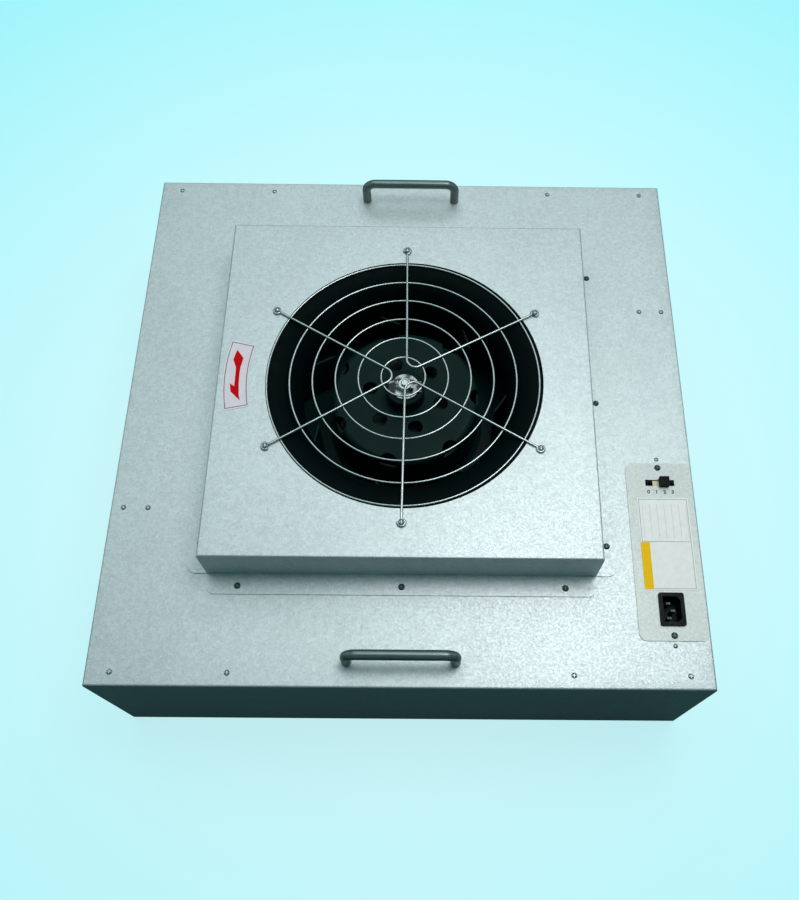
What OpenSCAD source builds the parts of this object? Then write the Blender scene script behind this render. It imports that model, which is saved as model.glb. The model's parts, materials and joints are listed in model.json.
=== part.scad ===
// Ceiling fan filter unit: a folded galvanised housing with a raised intake
// collar, a wire guard over a backward-curved fan, and a pleated filter
// pressed up against a seat inside the lower edge of the housing.
// Millimetres, +Z up, origin at the centre of the housing's lower edge.

/* [Housing] */
// Width of the housing along X
body_w = 575; // [565:1:600]
// Depth of the housing along Y
body_d = 575; // [565:1:600]
// Height of the housing up to its top panel
body_h = 174; // [170:1:190]
// Thickness of the housing and collar sheet
sheet_t = 1.2; // [0.8:0.1:1.5]
// Outer radius of the folds
bend_r = 2; // [1.6:0.1:3]
// Height of the closed hem along the lower edge
hem_h = 10; // [6:1:12]

/* [Intake collar] */
// Width and depth of the collar
collar_w = 370; // [350:1:380]
// Height of the collar above the top panel
collar_h = 52; // [48:1:70]
// Width of the collar's fixing flanges
flange_w = 20; // [16:1:24]
// Radius of the outer corners of the flanges
flange_corner_r = 9; // [4:1:12]
// Distances of the flange screws from the collar's right, back, left and front walls
flange_screw_outs = [12, 12, 9.5, 12];
// Spacing of the flange screws
flange_screw_pitch = 155; // [140:1:160]
// Gap between the collar's flange and the control plate
collar_plate_gap = 16.5; // [12:0.5:18]
// Fan and collar axis from the housing's centre along Y
fan_y = 3; // [-5:1:5]
// Radius of the round intake in the collar
intake_r = 137.2; // [134:0.2:140]

/* [Guard] */
// Radius of the smallest guard ring
first_ring_r = 21.7; // [18:0.1:24]
// Radial gap between the largest ring and the intake edge
ring_edge_gap = 1.8; // [1.5:0.1:4]
// Number of rings
ring_count = 6; // [4:1:7]
// Diameter of the ring wire
ring_wire_d = 2; // [1.6:0.1:2.4]
// Diameter of the spoke wire
spoke_wire_d = 2.5; // [2:0.1:3]
// Rise of the spokes' centre above their hooks
guard_rise = 4.2; // [3:0.1:8]
// Radius of the circle through the hook screws
hook_r = 151.5; // [147:0.5:155]
// Bend radius where two spokes join
spoke_bend_r = 8.5; // [6:0.5:10]
// Offset of each spoke pair's corner from the fan axis
spoke_offsets = [4.5, 4.5, 1.5];

/* [Handles] */
// Distance between a handle's legs
handle_pitch = 100; // [90:1:120]
// Height of a handle above the panel
handle_h = 33.5; // [30:0.5:45]
// Diameter of the handle bar
handle_d = 9.6; // [8:0.1:12]
// Centreline radius of the handle bends
handle_bend_r = 11; // [9:0.5:14]
// Handle axis from the housing's edge
handle_in = 23.5; // [21:0.5:26]

/* [Top panel screws] */
// Screw rows from the front and back edges
edge_screw_in = 12.5; // [10:0.5:14]
// Corner screws from the left and right edges
corner_screw_in = 23; // [18:1:30]
// Inner screws of the rows from the centre
inner_screw_x = 158; // [140:1:180]
// Stay screws from the side edges
stay_screw_in = 12.5; // [10:0.5:14]
// Spacing of the two screws of each stay
stay_screw_pitch = 24; // [20:1:28]
// Distance of each stay from the housing's centre along Y
stay_y = 116; // [100:1:130]

/* [Control plate] */
// Width of the control plate
plate_w = 65.2; // [60:0.2:66]
// Length of the control plate
plate_l = 179; // [170:1:190]
// Thickness of the control plate
plate_t = 1; // [0.8:0.1:1.5]
// Corner radius of the control plate
plate_corner_r = 7; // [4:0.5:9]
// Control plate's outer edge from the right edge of the housing
plate_side_in = 1.8; // [1.4:0.1:3]
// Control plate's near end from the front edge of the housing
plate_front_in = 44.5; // [42:0.5:50]
// Plate screws from the plate's ends
plate_screw_in = 5; // [4:0.5:7]
// Rivets of the wiring box from the plate's ends
plate_rivet_out = 4.5; // [3.5:0.5:6]
// Switch's centre from the plate's far end
switch_in = 21.3; // [18:0.1:24]
// Switch's centre from the plate's centre along X
switch_x = 0.8; // [0:0.1:2]
// Travel between two switch positions
switch_pitch = 7.6; // [7:0.1:8]
// Number of switch positions
switch_steps = 4; // [3:1:4]
// Position where the knob stands, counted from the left
switch_at = 3; // [1:1:3]
// Width of the knob along its travel
knob_w = 9.5; // [8:0.1:10]
// Depth of the knob across its travel
knob_d = 9; // [8:0.1:10]
// Height of the knob above the plate
knob_h = 7; // [5:0.5:9]
// Inlet's centre from the plate's near end
inlet_in = 29.6; // [28:0.1:32]
// Inlet bezel's width along X
inlet_w = 24; // [23:0.1:25]
// Inlet bezel's length along Y
inlet_l = 31.5; // [30:0.1:32]
// Width of the label
label_w = 50.5; // [44:0.5:54]
// Length of the label
label_l = 93.7; // [85:0.1:96]
// Label's far edge from the plate's far end
label_in = 37.3; // [36:0.1:40]

/* [Direction sticker] */
// Inner radius of the sticker
sticker_r1 = 153.6; // [153:0.1:160]
// Outer radius of the sticker
sticker_r2 = 179; // [170:0.5:182]
// Angle from the sticker's middle to each end
sticker_half = 12.9; // [8:0.1:16]
// Angle that turns the sticker's middle towards the back
sticker_turn = 0.5; // [0:0.1:2]

/* [Fan] */
// Outer radius of the impeller
impeller_r = 150; // [146:1:160]
// Radius of the nozzle's throat
throat_r = 104; // [100:1:108]
// Radius of the impeller's raised hub
hub_r = 75; // [73:1:80]
// Height of the hub disc below the collar's top
hub_below = 38; // [34:1:42]
// Height of the blades' passage at the hub
passage_h = 74; // [70:1:76]
// Number of blades, each beside a scallop of the hub
blade_count = 7; // [6:1:9]
// Thickness of the blades
blade_t = 1.8; // [1.2:0.1:2.5]
// Blade angle at its inner edge, from the tangent
blade_in_angle = 30; // [24:1:36]
// Blade angle at its outer edge, from the tangent
blade_out_angle = 45; // [38:1:52]
// Radius of the blades' inner edge
blade_in_r = 92; // [86:1:98]
// Radius of the cooling holes in the hub disc
hub_hole_r = 7.5; // [5:0.5:9]
// Radius of the circle through the cooling holes
hub_hole_pcr = 37; // [32:0.5:45]
// Number of cooling holes
hub_holes = 6; // [4:1:6]
// Radius of the scallops in the hub's rim
scallop_r = 9; // [6:0.5:11]
// Radius of the hub's clamping boss
boss_r = 19.5; // [16:0.5:22]
// Height of the boss above the hub disc
boss_h = 18; // [14:1:18]
// Diameter of the lock washer
washer_d = 28; // [24:1:32]
// Width of the shaft nut across its flats
nut_af = 13; // [13:0.5:16]

/* [Motor] */
// Radius of the motor can
can_r = 60; // [58:1:62]
// Height of the motor can
can_h = 65.5; // [62:0.5:66]
// Wall thickness of the motor can
can_t = 3; // [2:0.5:4]
// Radius of the motor shaft
shaft_r = 6; // [5:0.5:7]
// Radius of a bearing
bearing_r = 16; // [14:0.5:18]
// Width of a bearing
bearing_w = 10; // [8:1:10]
// Radius of the circle through the motor's fixing lugs
lug_r = 70; // [69:1:74]
// Height of the rubber mounts under the motor
mount_h = 4; // [3:0.5:6]

/* [Fan deck] */
// Deck's floor below the top panel
deck_below = 88.5; // [86:0.5:90]
// Deck's floor from the housing's left and right edges
deck_side_in = 97.5; // [94:0.5:104]
// Thickness of the deck sheet
deck_t = 1.5; // [1:0.1:2]
// Deck's upright walls from the housing's front and back edges
deck_wall_in = 32.5; // [31:0.5:34]
// Height of the deck's side lips
deck_lip_h = 8; // [5:0.5:9]
// Radius of the capacitor
capacitor_r = 20; // [16:0.5:22]
// Length of the capacitor
capacitor_l = 70; // [55:1:80]
// Diameter of the wiring leads
lead_d = 7; // [5:0.5:8]

/* [Filter] */
// Filter from the housing's sides
filter_in = 14.5; // [14.5:0.5:18]
// Space between the fan deck and the filter's seat
deck_seat_gap = 8.3; // [8:0.1:12]
// Filter's lower face above the housing's lower edge
filter_z = 6; // [6:0.5:8]
// Wall thickness of the filter frame
frame_t = 1.5; // [1:0.1:2]
// Width of the filter frame's lips
frame_lip = 12; // [8:1:16]
// Pleats from the filter's upper and lower faces
pleat_in = 8; // [7:1:12]
// Number of pleats
pleat_count = 54; // [30:1:60]
// Thickness of the filter paper
media_t = 0.7; // [0.4:0.1:1]
// Height of the filter's seal when pressed
gasket_h = 4.5; // [3:0.5:6]
// Width of the filter's seal
gasket_w = 12; // [8:1:16]
// Gaps across the filter's grille, each way
grille_gaps = 10; // [6:1:10]
// Width of the grille's bars
grille_bar = 2.4; // [1.5:0.1:4]
// Width of the filter's seat
seat_w = 34; // [30:1:36]
// Distance of the filter clamps from each side's middle
clamp_at = 165; // [120:1:200]

/* [Hidden] */
$fn = 64;
eps = 0.01;
fit = 0.05;            // radial gap of a turning or seated fit
hole_gap = 0.2;        // radial gap of a screw in its hole
rub_gap = 0.3;         // gap between parts that pass each other

// Screws: shank radius, head diameter and head height of each kind
small_shank_r = 1.5;
small_head_d = 5.4;
small_head_h = 1.6;
pan_shank_r = 1.9;
pan_head_d = 6.4;
pan_head_h = 2.2;
m5_r = 2.5;
m5_head_d = 9;
m5_head_h = 3;
m5_af = 8;
m5_nut_h = 4;
tapping_l = 10;
short_tapping_l = 8;
shank_past = 2;        // length of a bolt beyond its nut

// Heights
panel_under = body_h - sheet_t;
collar_top = body_h + collar_h;
collar_under = collar_top - sheet_t;
plate_top = body_h + plate_t;
flange_top = body_h + sheet_t;

// Places on the top panel
plate_x = body_w / 2 - plate_side_in - plate_w / 2;
fan_x = plate_x - plate_w / 2 - collar_plate_gap - flange_w - collar_w / 2;
edge_screw_y = body_d / 2 - edge_screw_in;
corner_screw_x = body_w / 2 - corner_screw_in;
row_screws = [for (sx = [-1, 1], sy = [-1, 1], x = [inner_screw_x, corner_screw_x])
    [sx * x, sy * edge_screw_y]];
stay_outer_x = body_w / 2 - stay_screw_in;
stay_screw_xy = [for (s = [-1, 1], i = [0, 1]) [s * (stay_outer_x - i * stay_screw_pitch), s * stay_y]];
panel_screw_xy = concat(row_screws, stay_screw_xy);
collar_half = collar_w / 2;
flange_screw_xy = [for (k = [0:3], i = [-1:1])
    [fan_x, fan_y] + turn([collar_half + flange_screw_outs[k], i * flange_screw_pitch], 90 * k)];
handle_y = body_d / 2 - handle_in;
handle_foot_xy = [for (sx = [-1, 1], sy = [-1, 1]) [sx * handle_pitch / 2, sy * handle_y]];
hook_angles = [for (i = [0:5]) 30 + 60 * i];
hook_xy = [for (a = hook_angles) [fan_x, fan_y] + turn([hook_r, 0], a)];

// Places on the control plate
plate_near = -body_d / 2 + plate_front_in;
plate_far = plate_near + plate_l;
plate_y = (plate_near + plate_far) / 2;
plate_screw_xy = [[plate_x, plate_far - plate_screw_in], [plate_x, plate_near + plate_screw_in]];
plate_rivet_xy = [[plate_x, plate_far + plate_rivet_out], [plate_x, plate_near - plate_rivet_out]];
switch_c = [plate_x + switch_x, plate_far - switch_in];
switch_knob_x = switch_c[0] + (switch_at - (switch_steps + 1) / 2) * switch_pitch;
stem_w = 4;
stem_d = 2;
slot_end = 1;
slot_l = (switch_steps - 1) * switch_pitch + stem_w + 2 * slot_end;
slot_d = 6.6;
inlet_c = [plate_x, plate_near + inlet_in];
cutout_margin = 6.8;
cutout_end = 11;

// Wiring box under the control plate
box_wall = 1;
box_side_in = 6.6;
box_half_w = plate_w / 2 - box_side_in;
box_end_in = 9.2;
box_h = 44;
box_x1 = plate_x - box_half_w;
box_y1 = plate_near + box_end_in;
box_l = plate_l - 2 * box_end_in;
box_z = panel_under - box_h;
box_tab_w = 18;
box_tab_l = plate_rivet_out + box_end_in + 4;

// Fan
hub_top = collar_top - hub_below;
hub_t = 2;
back_z = hub_top - passage_h;
back_t = 2;
shroud_t = 1.6;
shroud_gap = 2;
nozzle_t = 1.5;
shroud_in_r = throat_r + nozzle_t + shroud_gap;
shroud_in_z = hub_top - 2;
shroud_out_z = hub_top - 24;
throat_end = hub_top - 7;
nozzle_flange_r = hook_r + 8;
boss_top = hub_top + boss_h;
boss_spigot_r = 13;
boss_spigot_h = 4;
washer_t = 2;
shaft_end_r = 4;
nut_h = 6.5;
shaft_past_nut = 2.5;
shaft_top = boss_top + washer_t + nut_h + shaft_past_nut;
first_hole = 47;
first_scallop = 206;
scallop_depth = 12;

// Motor
deck_z = body_h - deck_below;
base_z = deck_z + mount_h;
base_t = 5;
can_z = base_z + base_t;
can_top = can_z + can_h;
cover_t = 5;
bearing_pocket_wall = 6;
lower_bearing_z = can_z + 1.5;
lower_pocket_top = lower_bearing_z + bearing_w + 1;
cover_boss_h = 14;
upper_bearing_z = can_top + cover_boss_h - 3 - bearing_w;
stack_h = 38;
stack_z = can_z + 17.5;
stator_in_r = 34;
rotor_gap = 0.6;
shaft_bottom = can_z - 2;
motor_lug_xy = [for (a = [45:90:315]) [fan_x, fan_y] + turn([lug_r, 0], a)];

// Deck, capacitor and leads
deck_w = body_w - 2 * deck_side_in;
deck_wall_y = body_d / 2 - deck_wall_in;
deck_end_in = 14.5;
deck_flange_in = 2.5;
deck_end_x = body_w / 2 - deck_end_in;
deck_flange_end = body_d / 2 - deck_flange_in;
deck_hole_r = 40;
stay_w = 40;
stay_t = 1.5;
stay_bend_in = 8;
stay_top_in = 4.5;
stay_lap = 12;
stay_wall_x = stay_outer_x - stay_screw_pitch - stay_bend_in;
stay_top_x = body_w / 2 - stay_top_in;
stay_foot_x = deck_w / 2 - stay_lap;
stay_foot_screw_x = deck_w / 2 - stay_lap / 2;
stay_foot_xy = [for (s = [-1, 1]) [s * stay_foot_screw_x, s * stay_y]];
capacitor_side_in = 90;
capacitor_wall_in = 42;
capacitor_c = [deck_w / 2 - capacitor_side_in, deck_wall_y - capacitor_wall_in];
capacitor_z = deck_z + capacitor_r + rub_gap;
clamp_w = 15;
clamp_t = 1.2;
clamp_foot = 12;
capacitor_screw_xy = [for (s = [-1, 1])
    [capacitor_c[0] + capacitor_l / 2, capacitor_c[1] + s * (capacitor_r + clamp_t + clamp_foot / 2)]];
lead_r = lead_d / 2;
lead_under = 1;
lead_z = can_z + lead_r + lead_under;
lead_bend = 12;
lead_entry_h = 12;
lead_box_z = box_z + lead_entry_h;
motor_lead_out = 63;
motor_lead_y = fan_y - can_r - motor_lead_out;
motor_rise_out = 16;
motor_rise_x = deck_w / 2 + motor_rise_out;
lead_spacing = 25;
capacitor_lead_y = motor_lead_y + lead_spacing;
capacitor_rise_out = 12;
capacitor_rise_x = deck_w / 2 + capacitor_rise_out;
lead_tail = 8;
box_entry_x = box_x1 + lead_tail;
motor_lead_path = [
    [box_entry_x, motor_lead_y, lead_box_z], [motor_rise_x, motor_lead_y, lead_box_z],
    [motor_rise_x, motor_lead_y, lead_z], [fan_x, motor_lead_y, lead_z],
    [fan_x, fan_y - can_r + can_t, lead_z]
];
capacitor_lead_path = [
    [capacitor_c[0] + capacitor_l, capacitor_c[1], capacitor_z],
    [capacitor_rise_x, capacitor_c[1], capacitor_z], [capacitor_rise_x, capacitor_lead_y, capacitor_z],
    [capacitor_rise_x, capacitor_lead_y, lead_box_z], [box_entry_x, capacitor_lead_y, lead_box_z]
];
clip_out = 45;
clip_spacing = 100;
lead_clip_x = [fan_x + clip_out, fan_x + clip_out + clip_spacing];
clip_w = 8;
clip_foot_l = 16;
clip_foot_t = 2;
clip_stem_w = 6;
clip_wall = 1.5;

// Filter, seat and clamps
filter_w = body_w - 2 * filter_in;
filter_d = body_d - 2 * filter_in;
seat_z = deck_z - deck_t - deck_seat_gap - sheet_t;
filter_top = seat_z - gasket_h;
filter_h = filter_top - filter_z;
pleat_h = filter_h - 2 * pleat_in;
seat_leg_h = 14;
media_w = filter_w - 2 * frame_t - 2 * rub_gap;
media_d = filter_d - 2 * frame_t - 2 * rub_gap;
inner_w = body_w - 2 * sheet_t;
inner_d = body_d - 2 * sheet_t;
clamp_bolt_out = 6;
clamp_plate_t = 2;
clamp_plate_w = 16;
clamp_hook = 8;
clamp_end = 4;
grille_t = 1;
bolt_head_h = 3.5;
clamp_places = [for (a = [0:90:270], s = [-1, 1]) [a, s * clamp_at]];
function clamp_reach(p) = (p[0] % 180 == 0 ? filter_w : filter_d) / 2 + clamp_bolt_out;
clamp_xy = [for (p = clamp_places) turn([clamp_reach(p), p[1]], p[0])];

function turn(p, a) = [p[0] * cos(a) - p[1] * sin(a), p[0] * sin(a) + p[1] * cos(a)];
function unit(v) = v / norm(v);
function side(v) = unit(abs(v[2]) < 0.9 ? cross([0, 0, 1], v) : cross([1, 0, 0], v));
function arc(c, r, a, b, n = 10) =
    [for (i = [0:n]) c + r * [cos(a + (b - a) * i / n), sin(a + (b - a) * i / n)]];
function ellipse_arc(c, rx, ry, a, b, n = 12) =
    [for (i = [0:n]) c + [rx * cos(a + (b - a) * i / n), ry * sin(a + (b - a) * i / n)]];

// Places its children with local X, Y and Z along x, y and z, at p.
module set_frame(x, y, z, p) {
    multmatrix([
        [x[0], y[0], z[0], p[0]],
        [x[1], y[1], z[1], p[1]],
        [x[2], y[2], z[2], p[2]],
        [0, 0, 0, 1]
    ]) children();
}

// Round bar from p to q.
module bar(p, q, r) {
    z = unit(q - p);
    x = side(z);
    set_frame(x, cross(z, x), z, p) cylinder(r = r, h = norm(q - p));
}

// Round bar along the points of path, with every corner bent to radius bend.
// A wire thins by neck where it is bent, and each bend then laps into the straight runs.
module bent_bar(path, r, bend, neck = 0) {
    last = len(path) - 1;
    dirs = [for (i = [0:last - 1]) unit(path[i + 1] - path[i])];
    cuts = [for (i = [0:last]) i == 0 || i == last ? 0 :
        bend * tan(acos(dirs[i - 1] * dirs[i]) / 2)];
    lap = neck > 0 ? 3 : 0;
    for (i = [0:last - 1])
        bar(path[i] + dirs[i] * cuts[i], path[i + 1] - dirs[i] * cuts[i + 1], r);
    for (i = [1:last - 1]) {
        u = dirs[i - 1];
        v = dirs[i];
        n = unit(v - (u * v) * u);
        set_frame(-n, u, cross(-n, u), path[i] - u * cuts[i] + n * bend)
            rotate(-lap) rotate_extrude(angle = acos(u * v) + 2 * lap) translate([bend, 0]) circle(r - neck);
    }
}

// Rectangle with round corners, centred, w by d.
module round_rect(w, d, r) {
    square([w - 2 * r, d], center = true);
    square([w, d - 2 * r], center = true);
    for (x = [-1, 1], y = [-1, 1]) translate([x * (w / 2 - r), y * (d / 2 - r)]) circle(r);
}

// Upright section with its two top corners rounded.
module fold_section(w, h, r) {
    translate([-w / 2, 0]) square([w, h - r]);
    translate([-w / 2 + r, 0]) square([w - 2 * r, h]);
    for (s = [-1, 1]) translate([s * (w / 2 - r), h - r]) circle(r);
}

// Block with its four top edges rounded, as a folded lid has.
module fold_block(w, d, h, r) {
    intersection() {
        rotate([90, 0, 0]) translate([0, 0, -d / 2]) linear_extrude(d) fold_section(w, h, r);
        rotate([90, 0, 90]) translate([0, 0, -w / 2]) linear_extrude(w) fold_section(d, h, r);
    }
}

// Upright holes of radius r through a sheet between z1 and z2.
module holes(places, r, z1, z2) {
    for (p = places) translate([p[0], p[1], z1 - 1]) cylinder(r = r, h = z2 - z1 + 2);
}

// Domed screw head with a cross recess, its underside at z = 0.
module screw_head(d, h) {
    dome_r = (d * d / 4 + h * h) / (2 * h);
    difference() {
        intersection() {
            cylinder(d = d, h = h);
            translate([0, 0, h - dome_r]) sphere(dome_r);
        }
        for (a = [0, 90]) rotate(a) translate([-d * 0.3, -d * 0.06, h * 0.45]) cube([d * 0.6, d * 0.12, h]);
    }
}

// Screw with its head on z = 0 and a pointed shank below.
module tapping_screw(shank_r, l, head_d, head_h) {
    screw_head(head_d, head_h);
    translate([0, 0, -l + shank_r]) cylinder(r = shank_r, h = l - shank_r + eps);
    translate([0, 0, -l]) cylinder(r1 = 0.3, r2 = shank_r, h = shank_r);
}

// Hexagon of the given width across its flats.
module hexagon(af) {
    circle(d = af / cos(30), $fn = 6);
}

// Hexagon nut standing on z = 0.
module nut(af, h, bore_r) {
    difference() {
        intersection() {
            linear_extrude(h) hexagon(af);
            translate([0, 0, -af / 2 + h - 0.4]) cylinder(r1 = af * 1.1, r2 = af * 0.46, h = af / 2 + 0.4);
        }
        translate([0, 0, -1]) cylinder(r = bore_r, h = h + 2);
    }
}

module at_fan() {
    translate([fan_x, fan_y, 0]) children();
}

// ---- Housing ----

module housing_shell() color("lightslategray") difference() {
    union() {
        difference() {
            fold_block(body_w, body_d, body_h, bend_r);
            translate([0, 0, -eps]) fold_block(inner_w, inner_d, panel_under + eps, bend_r - sheet_t);
        }
        difference() {
            translate([-inner_w / 2, -inner_d / 2, 0]) cube([inner_w, inner_d, hem_h]);
            translate([-inner_w / 2 + sheet_t, -inner_d / 2 + sheet_t, -1])
                cube([inner_w - 2 * sheet_t, inner_d - 2 * sheet_t, hem_h + 2]);
        }
    }
    at_fan() translate([0, 0, panel_under - 1]) cylinder(r = impeller_r + 15, h = sheet_t + 2);
    translate([plate_x, plate_y, panel_under - 1]) linear_extrude(sheet_t + 2)
        square([plate_w - 2 * cutout_margin, plate_l - 2 * cutout_end], center = true);
    holes(panel_screw_xy, small_shank_r + hole_gap, panel_under, body_h);
    holes(flange_screw_xy, pan_shank_r + hole_gap, panel_under, body_h);
    holes(handle_foot_xy, m5_r + hole_gap, panel_under, body_h);
    holes(plate_screw_xy, pan_shank_r + hole_gap, panel_under, body_h);
    holes(plate_rivet_xy, small_shank_r + hole_gap, panel_under, body_h);
}

module collar_flange() {
    translate([collar_half - sheet_t, 0, body_h]) linear_extrude(sheet_t) {
        translate([0, -collar_half]) square([sheet_t + flange_w - flange_corner_r, collar_w]);
        translate([0, -collar_half + flange_corner_r])
            square([sheet_t + flange_w, collar_w - 2 * flange_corner_r]);
        for (s = [-1, 1])
            translate([sheet_t + flange_w - flange_corner_r, s * (collar_half - flange_corner_r)])
                circle(flange_corner_r);
    }
}

module intake_collar() color("lightsteelblue") difference() {
    at_fan() {
        difference() {
            translate([0, 0, body_h]) fold_block(collar_w, collar_w, collar_h, bend_r);
            translate([0, 0, body_h - eps])
                fold_block(collar_w - 2 * sheet_t, collar_w - 2 * sheet_t, collar_h - sheet_t + eps,
                    bend_r - sheet_t);
            translate([0, 0, collar_under - 1]) cylinder(r = intake_r, h = sheet_t + 2);
        }
        for (a = [0:90:270]) rotate(a) collar_flange();
    }
    holes(flange_screw_xy, pan_shank_r + hole_gap, body_h, flange_top);
    holes(hook_xy, pan_shank_r + hole_gap, collar_under, collar_top);
}

// Bell-mouth under the collar's top: flange, quarter ellipse and straight throat.
module inlet_nozzle() color("black") difference() {
    at_fan() rotate_extrude() polygon(concat(
        [[nozzle_flange_r, collar_under], [intake_r, collar_under]],
        ellipse_arc([intake_r, hub_top], intake_r - throat_r, collar_under - hub_top, 90, 180),
        [[throat_r, throat_end], [throat_r + nozzle_t, throat_end]],
        ellipse_arc([intake_r, hub_top], intake_r - throat_r - nozzle_t,
            collar_under - hub_top - nozzle_t, 180, 90),
        [[nozzle_flange_r, collar_under - nozzle_t]]));
    holes(hook_xy, pan_shank_r + hole_gap, collar_under - nozzle_t, collar_under);
}

// ---- Guard ----

hook_wire_z = collar_top + spoke_wire_d / 2;
hook_eye_r = pan_shank_r + hole_gap + spoke_wire_d / 2;
spoke_end_r = hook_r - hook_eye_r;
spoke_top_z = hook_wire_z + guard_rise;
last_ring_r = intake_r - ring_edge_gap;
weld = 0.35;
neck = 0.02;
function ring_r(i) = first_ring_r + (last_ring_r - first_ring_r) * i / (ring_count - 1);
function spoke_z(r) = spoke_top_z - guard_rise * r / spoke_end_r;

// Two spokes bent from one wire, whose corner points at the fan axis, and their eyes.
module spoke_pair(middle, offset) {
    corner = concat(turn([offset, 0], middle), spoke_z(offset));
    ends = [for (s = [-1, 1]) concat(turn([spoke_end_r, 0], middle + s * 30), hook_wire_z)];
    bent_bar([ends[0], corner, ends[1]], spoke_wire_d / 2, spoke_bend_r, neck);
    for (s = [-1, 1]) rotate(middle + s * 30) translate([hook_r, 0, hook_wire_z])
        rotate(170) rotate_extrude(angle = 300) translate([hook_eye_r, 0]) circle(spoke_wire_d / 2 - neck);
}

module finger_guard() color("gainsboro") at_fan() {
    for (i = [0:ring_count - 1])
        translate([0, 0, spoke_z(ring_r(i)) - (spoke_wire_d + ring_wire_d) / 2 + weld])
            rotate_extrude() translate([ring_r(i), 0]) circle(ring_wire_d / 2);
    for (i = [0:2]) spoke_pair(60 + 120 * i, spoke_offsets[i]);
}

module guard_screws() color("silver")
    for (p = hook_xy) translate([p[0], p[1], collar_top + spoke_wire_d + fit])
        tapping_screw(pan_shank_r, tapping_l + 2, pan_head_d, pan_head_h);

module collar_screws() color("dimgray")
    for (p = flange_screw_xy) translate([p[0], p[1], flange_top])
        tapping_screw(pan_shank_r, tapping_l, pan_head_d, pan_head_h);

module panel_screws() color("silver")
    for (p = panel_screw_xy) translate([p[0], p[1], body_h])
        tapping_screw(small_shank_r, tapping_l, small_head_d, small_head_h);

// ---- Handles ----

handle_thread = 10;

module handle(s) translate([0, s * handle_y, body_h]) difference() {
    bar_z = handle_h - handle_d / 2;
    bent_bar([[-handle_pitch / 2, 0, 0], [-handle_pitch / 2, 0, bar_z],
        [handle_pitch / 2, 0, bar_z], [handle_pitch / 2, 0, 0]], handle_d / 2, handle_bend_r);
    for (x = [-1, 1]) translate([x * handle_pitch / 2, 0, -1])
        cylinder(r = m5_r + fit, h = handle_thread + 3);
}

module handle_front() color("darkgray") handle(-1);

module handle_back() color("darkgray") handle(1);

module handle_screws() color("silver") {
    under = panel_under - deck_t;
    for (p = handle_foot_xy) translate([p[0], p[1], under]) {
        rotate([180, 0, 0]) screw_head(m5_head_d, m5_head_h);
        translate([0, 0, -eps]) cylinder(r = m5_r, h = body_h - under + handle_thread);
    }
}

// ---- Control plate ----

module control_plate() color("lightgray") difference() {
    translate([plate_x, plate_y, body_h]) linear_extrude(plate_t)
        round_rect(plate_w, plate_l, plate_corner_r);
    translate([switch_c[0] - slot_l / 2, switch_c[1] - slot_d / 2, body_h - 1])
        cube([slot_l, slot_d, plate_t + 2]);
    translate([inlet_c[0], inlet_c[1], body_h - 1]) linear_extrude(plate_t + 2)
        square([inlet_body_w, inlet_body_l], center = true);
    holes(plate_screw_xy, pan_shank_r + hole_gap, body_h, plate_top);
}

module plate_screws() color("dimgray")
    for (p = plate_screw_xy) translate([p[0], p[1], plate_top])
        tapping_screw(pan_shank_r, tapping_l, pan_head_d, pan_head_h);

module plate_rivets() color("silver")
    for (p = plate_rivet_xy) translate([p[0], p[1], body_h]) {
        intersection() {
            cylinder(r = 2.2, h = 0.8);
            translate([0, 0, -2.9]) sphere(3.7);
        }
        translate([0, 0, -sheet_t - box_wall - 1])
            cylinder(r = small_shank_r, h = sheet_t + box_wall + 1 + eps);
        translate([0, 0, -sheet_t - box_wall - 1.8]) cylinder(r = 2.2, h = 0.8);
    }

module direction_sticker() color("mistyrose") at_fan() translate([0, 0, collar_top])
    rotate(180 - sticker_turn - sticker_half) rotate_extrude(angle = 2 * sticker_half)
        translate([sticker_r1, 0]) square([sticker_r2 - sticker_r1, film_t]);

label_shift = 1.6;
film_t = 0.3;

module blank_label() color("whitesmoke")
    translate([plate_x - label_w / 2 + label_shift, plate_far - label_in - label_l, plate_top])
        cube([label_w, label_l, film_t]);

inlet_bezel_h = 2.2;
inlet_bezel_lip = 1.5;
inlet_body_w = inlet_w - 2 * inlet_bezel_lip;
inlet_body_l = inlet_l - 2 * inlet_bezel_lip;
pin_w = 4;
pin_t = 2;
inlet_top = plate_top + inlet_bezel_h;
inlet_depth = 18;
inlet_body_h = 21;
recess_w = 16.5;
recess_l = 24.4;
recess_cut = 3.5;

// Recess outline with the two cut corners that turn the plug the right way.
module recess_outline() polygon([
    [-recess_w / 2, -recess_l / 2], [recess_w / 2 - recess_cut, -recess_l / 2],
    [recess_w / 2, -recess_l / 2 + recess_cut], [recess_w / 2, recess_l / 2 - recess_cut],
    [recess_w / 2 - recess_cut, recess_l / 2], [-recess_w / 2, recess_l / 2]
]);

module power_inlet() color("black") translate([inlet_c[0], inlet_c[1], 0]) difference() {
    union() {
        translate([0, 0, plate_top]) linear_extrude(inlet_bezel_h) round_rect(inlet_w, inlet_l, 2);
        translate([0, 0, inlet_top - inlet_body_h]) linear_extrude(inlet_body_h)
            square([inlet_body_w - rub_gap, inlet_body_l - rub_gap], center = true);
    }
    translate([0, 0, inlet_top - inlet_depth]) linear_extrude(inlet_depth + 1) recess_outline();
    for (p = inlet_pin_xy) translate([p[0], p[1], inlet_top - inlet_body_h - 1]) linear_extrude(inlet_body_h)
        square([pin_w + 2 * fit, pin_t + 2 * fit], center = true);
}

inlet_pin_xy = [[-2, -7], [-2, 7], [2, 0]];
pin_tail = 5;
pin_below = 6.7;

module inlet_pins() color("silver")
    for (p = inlet_pin_xy)
        translate([inlet_c[0] + p[0], inlet_c[1] + p[1], inlet_top - inlet_body_h - pin_tail])
            linear_extrude(inlet_body_h + pin_tail - pin_below) square([pin_w, pin_t], center = true);

// ---- Slide switch ----

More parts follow.
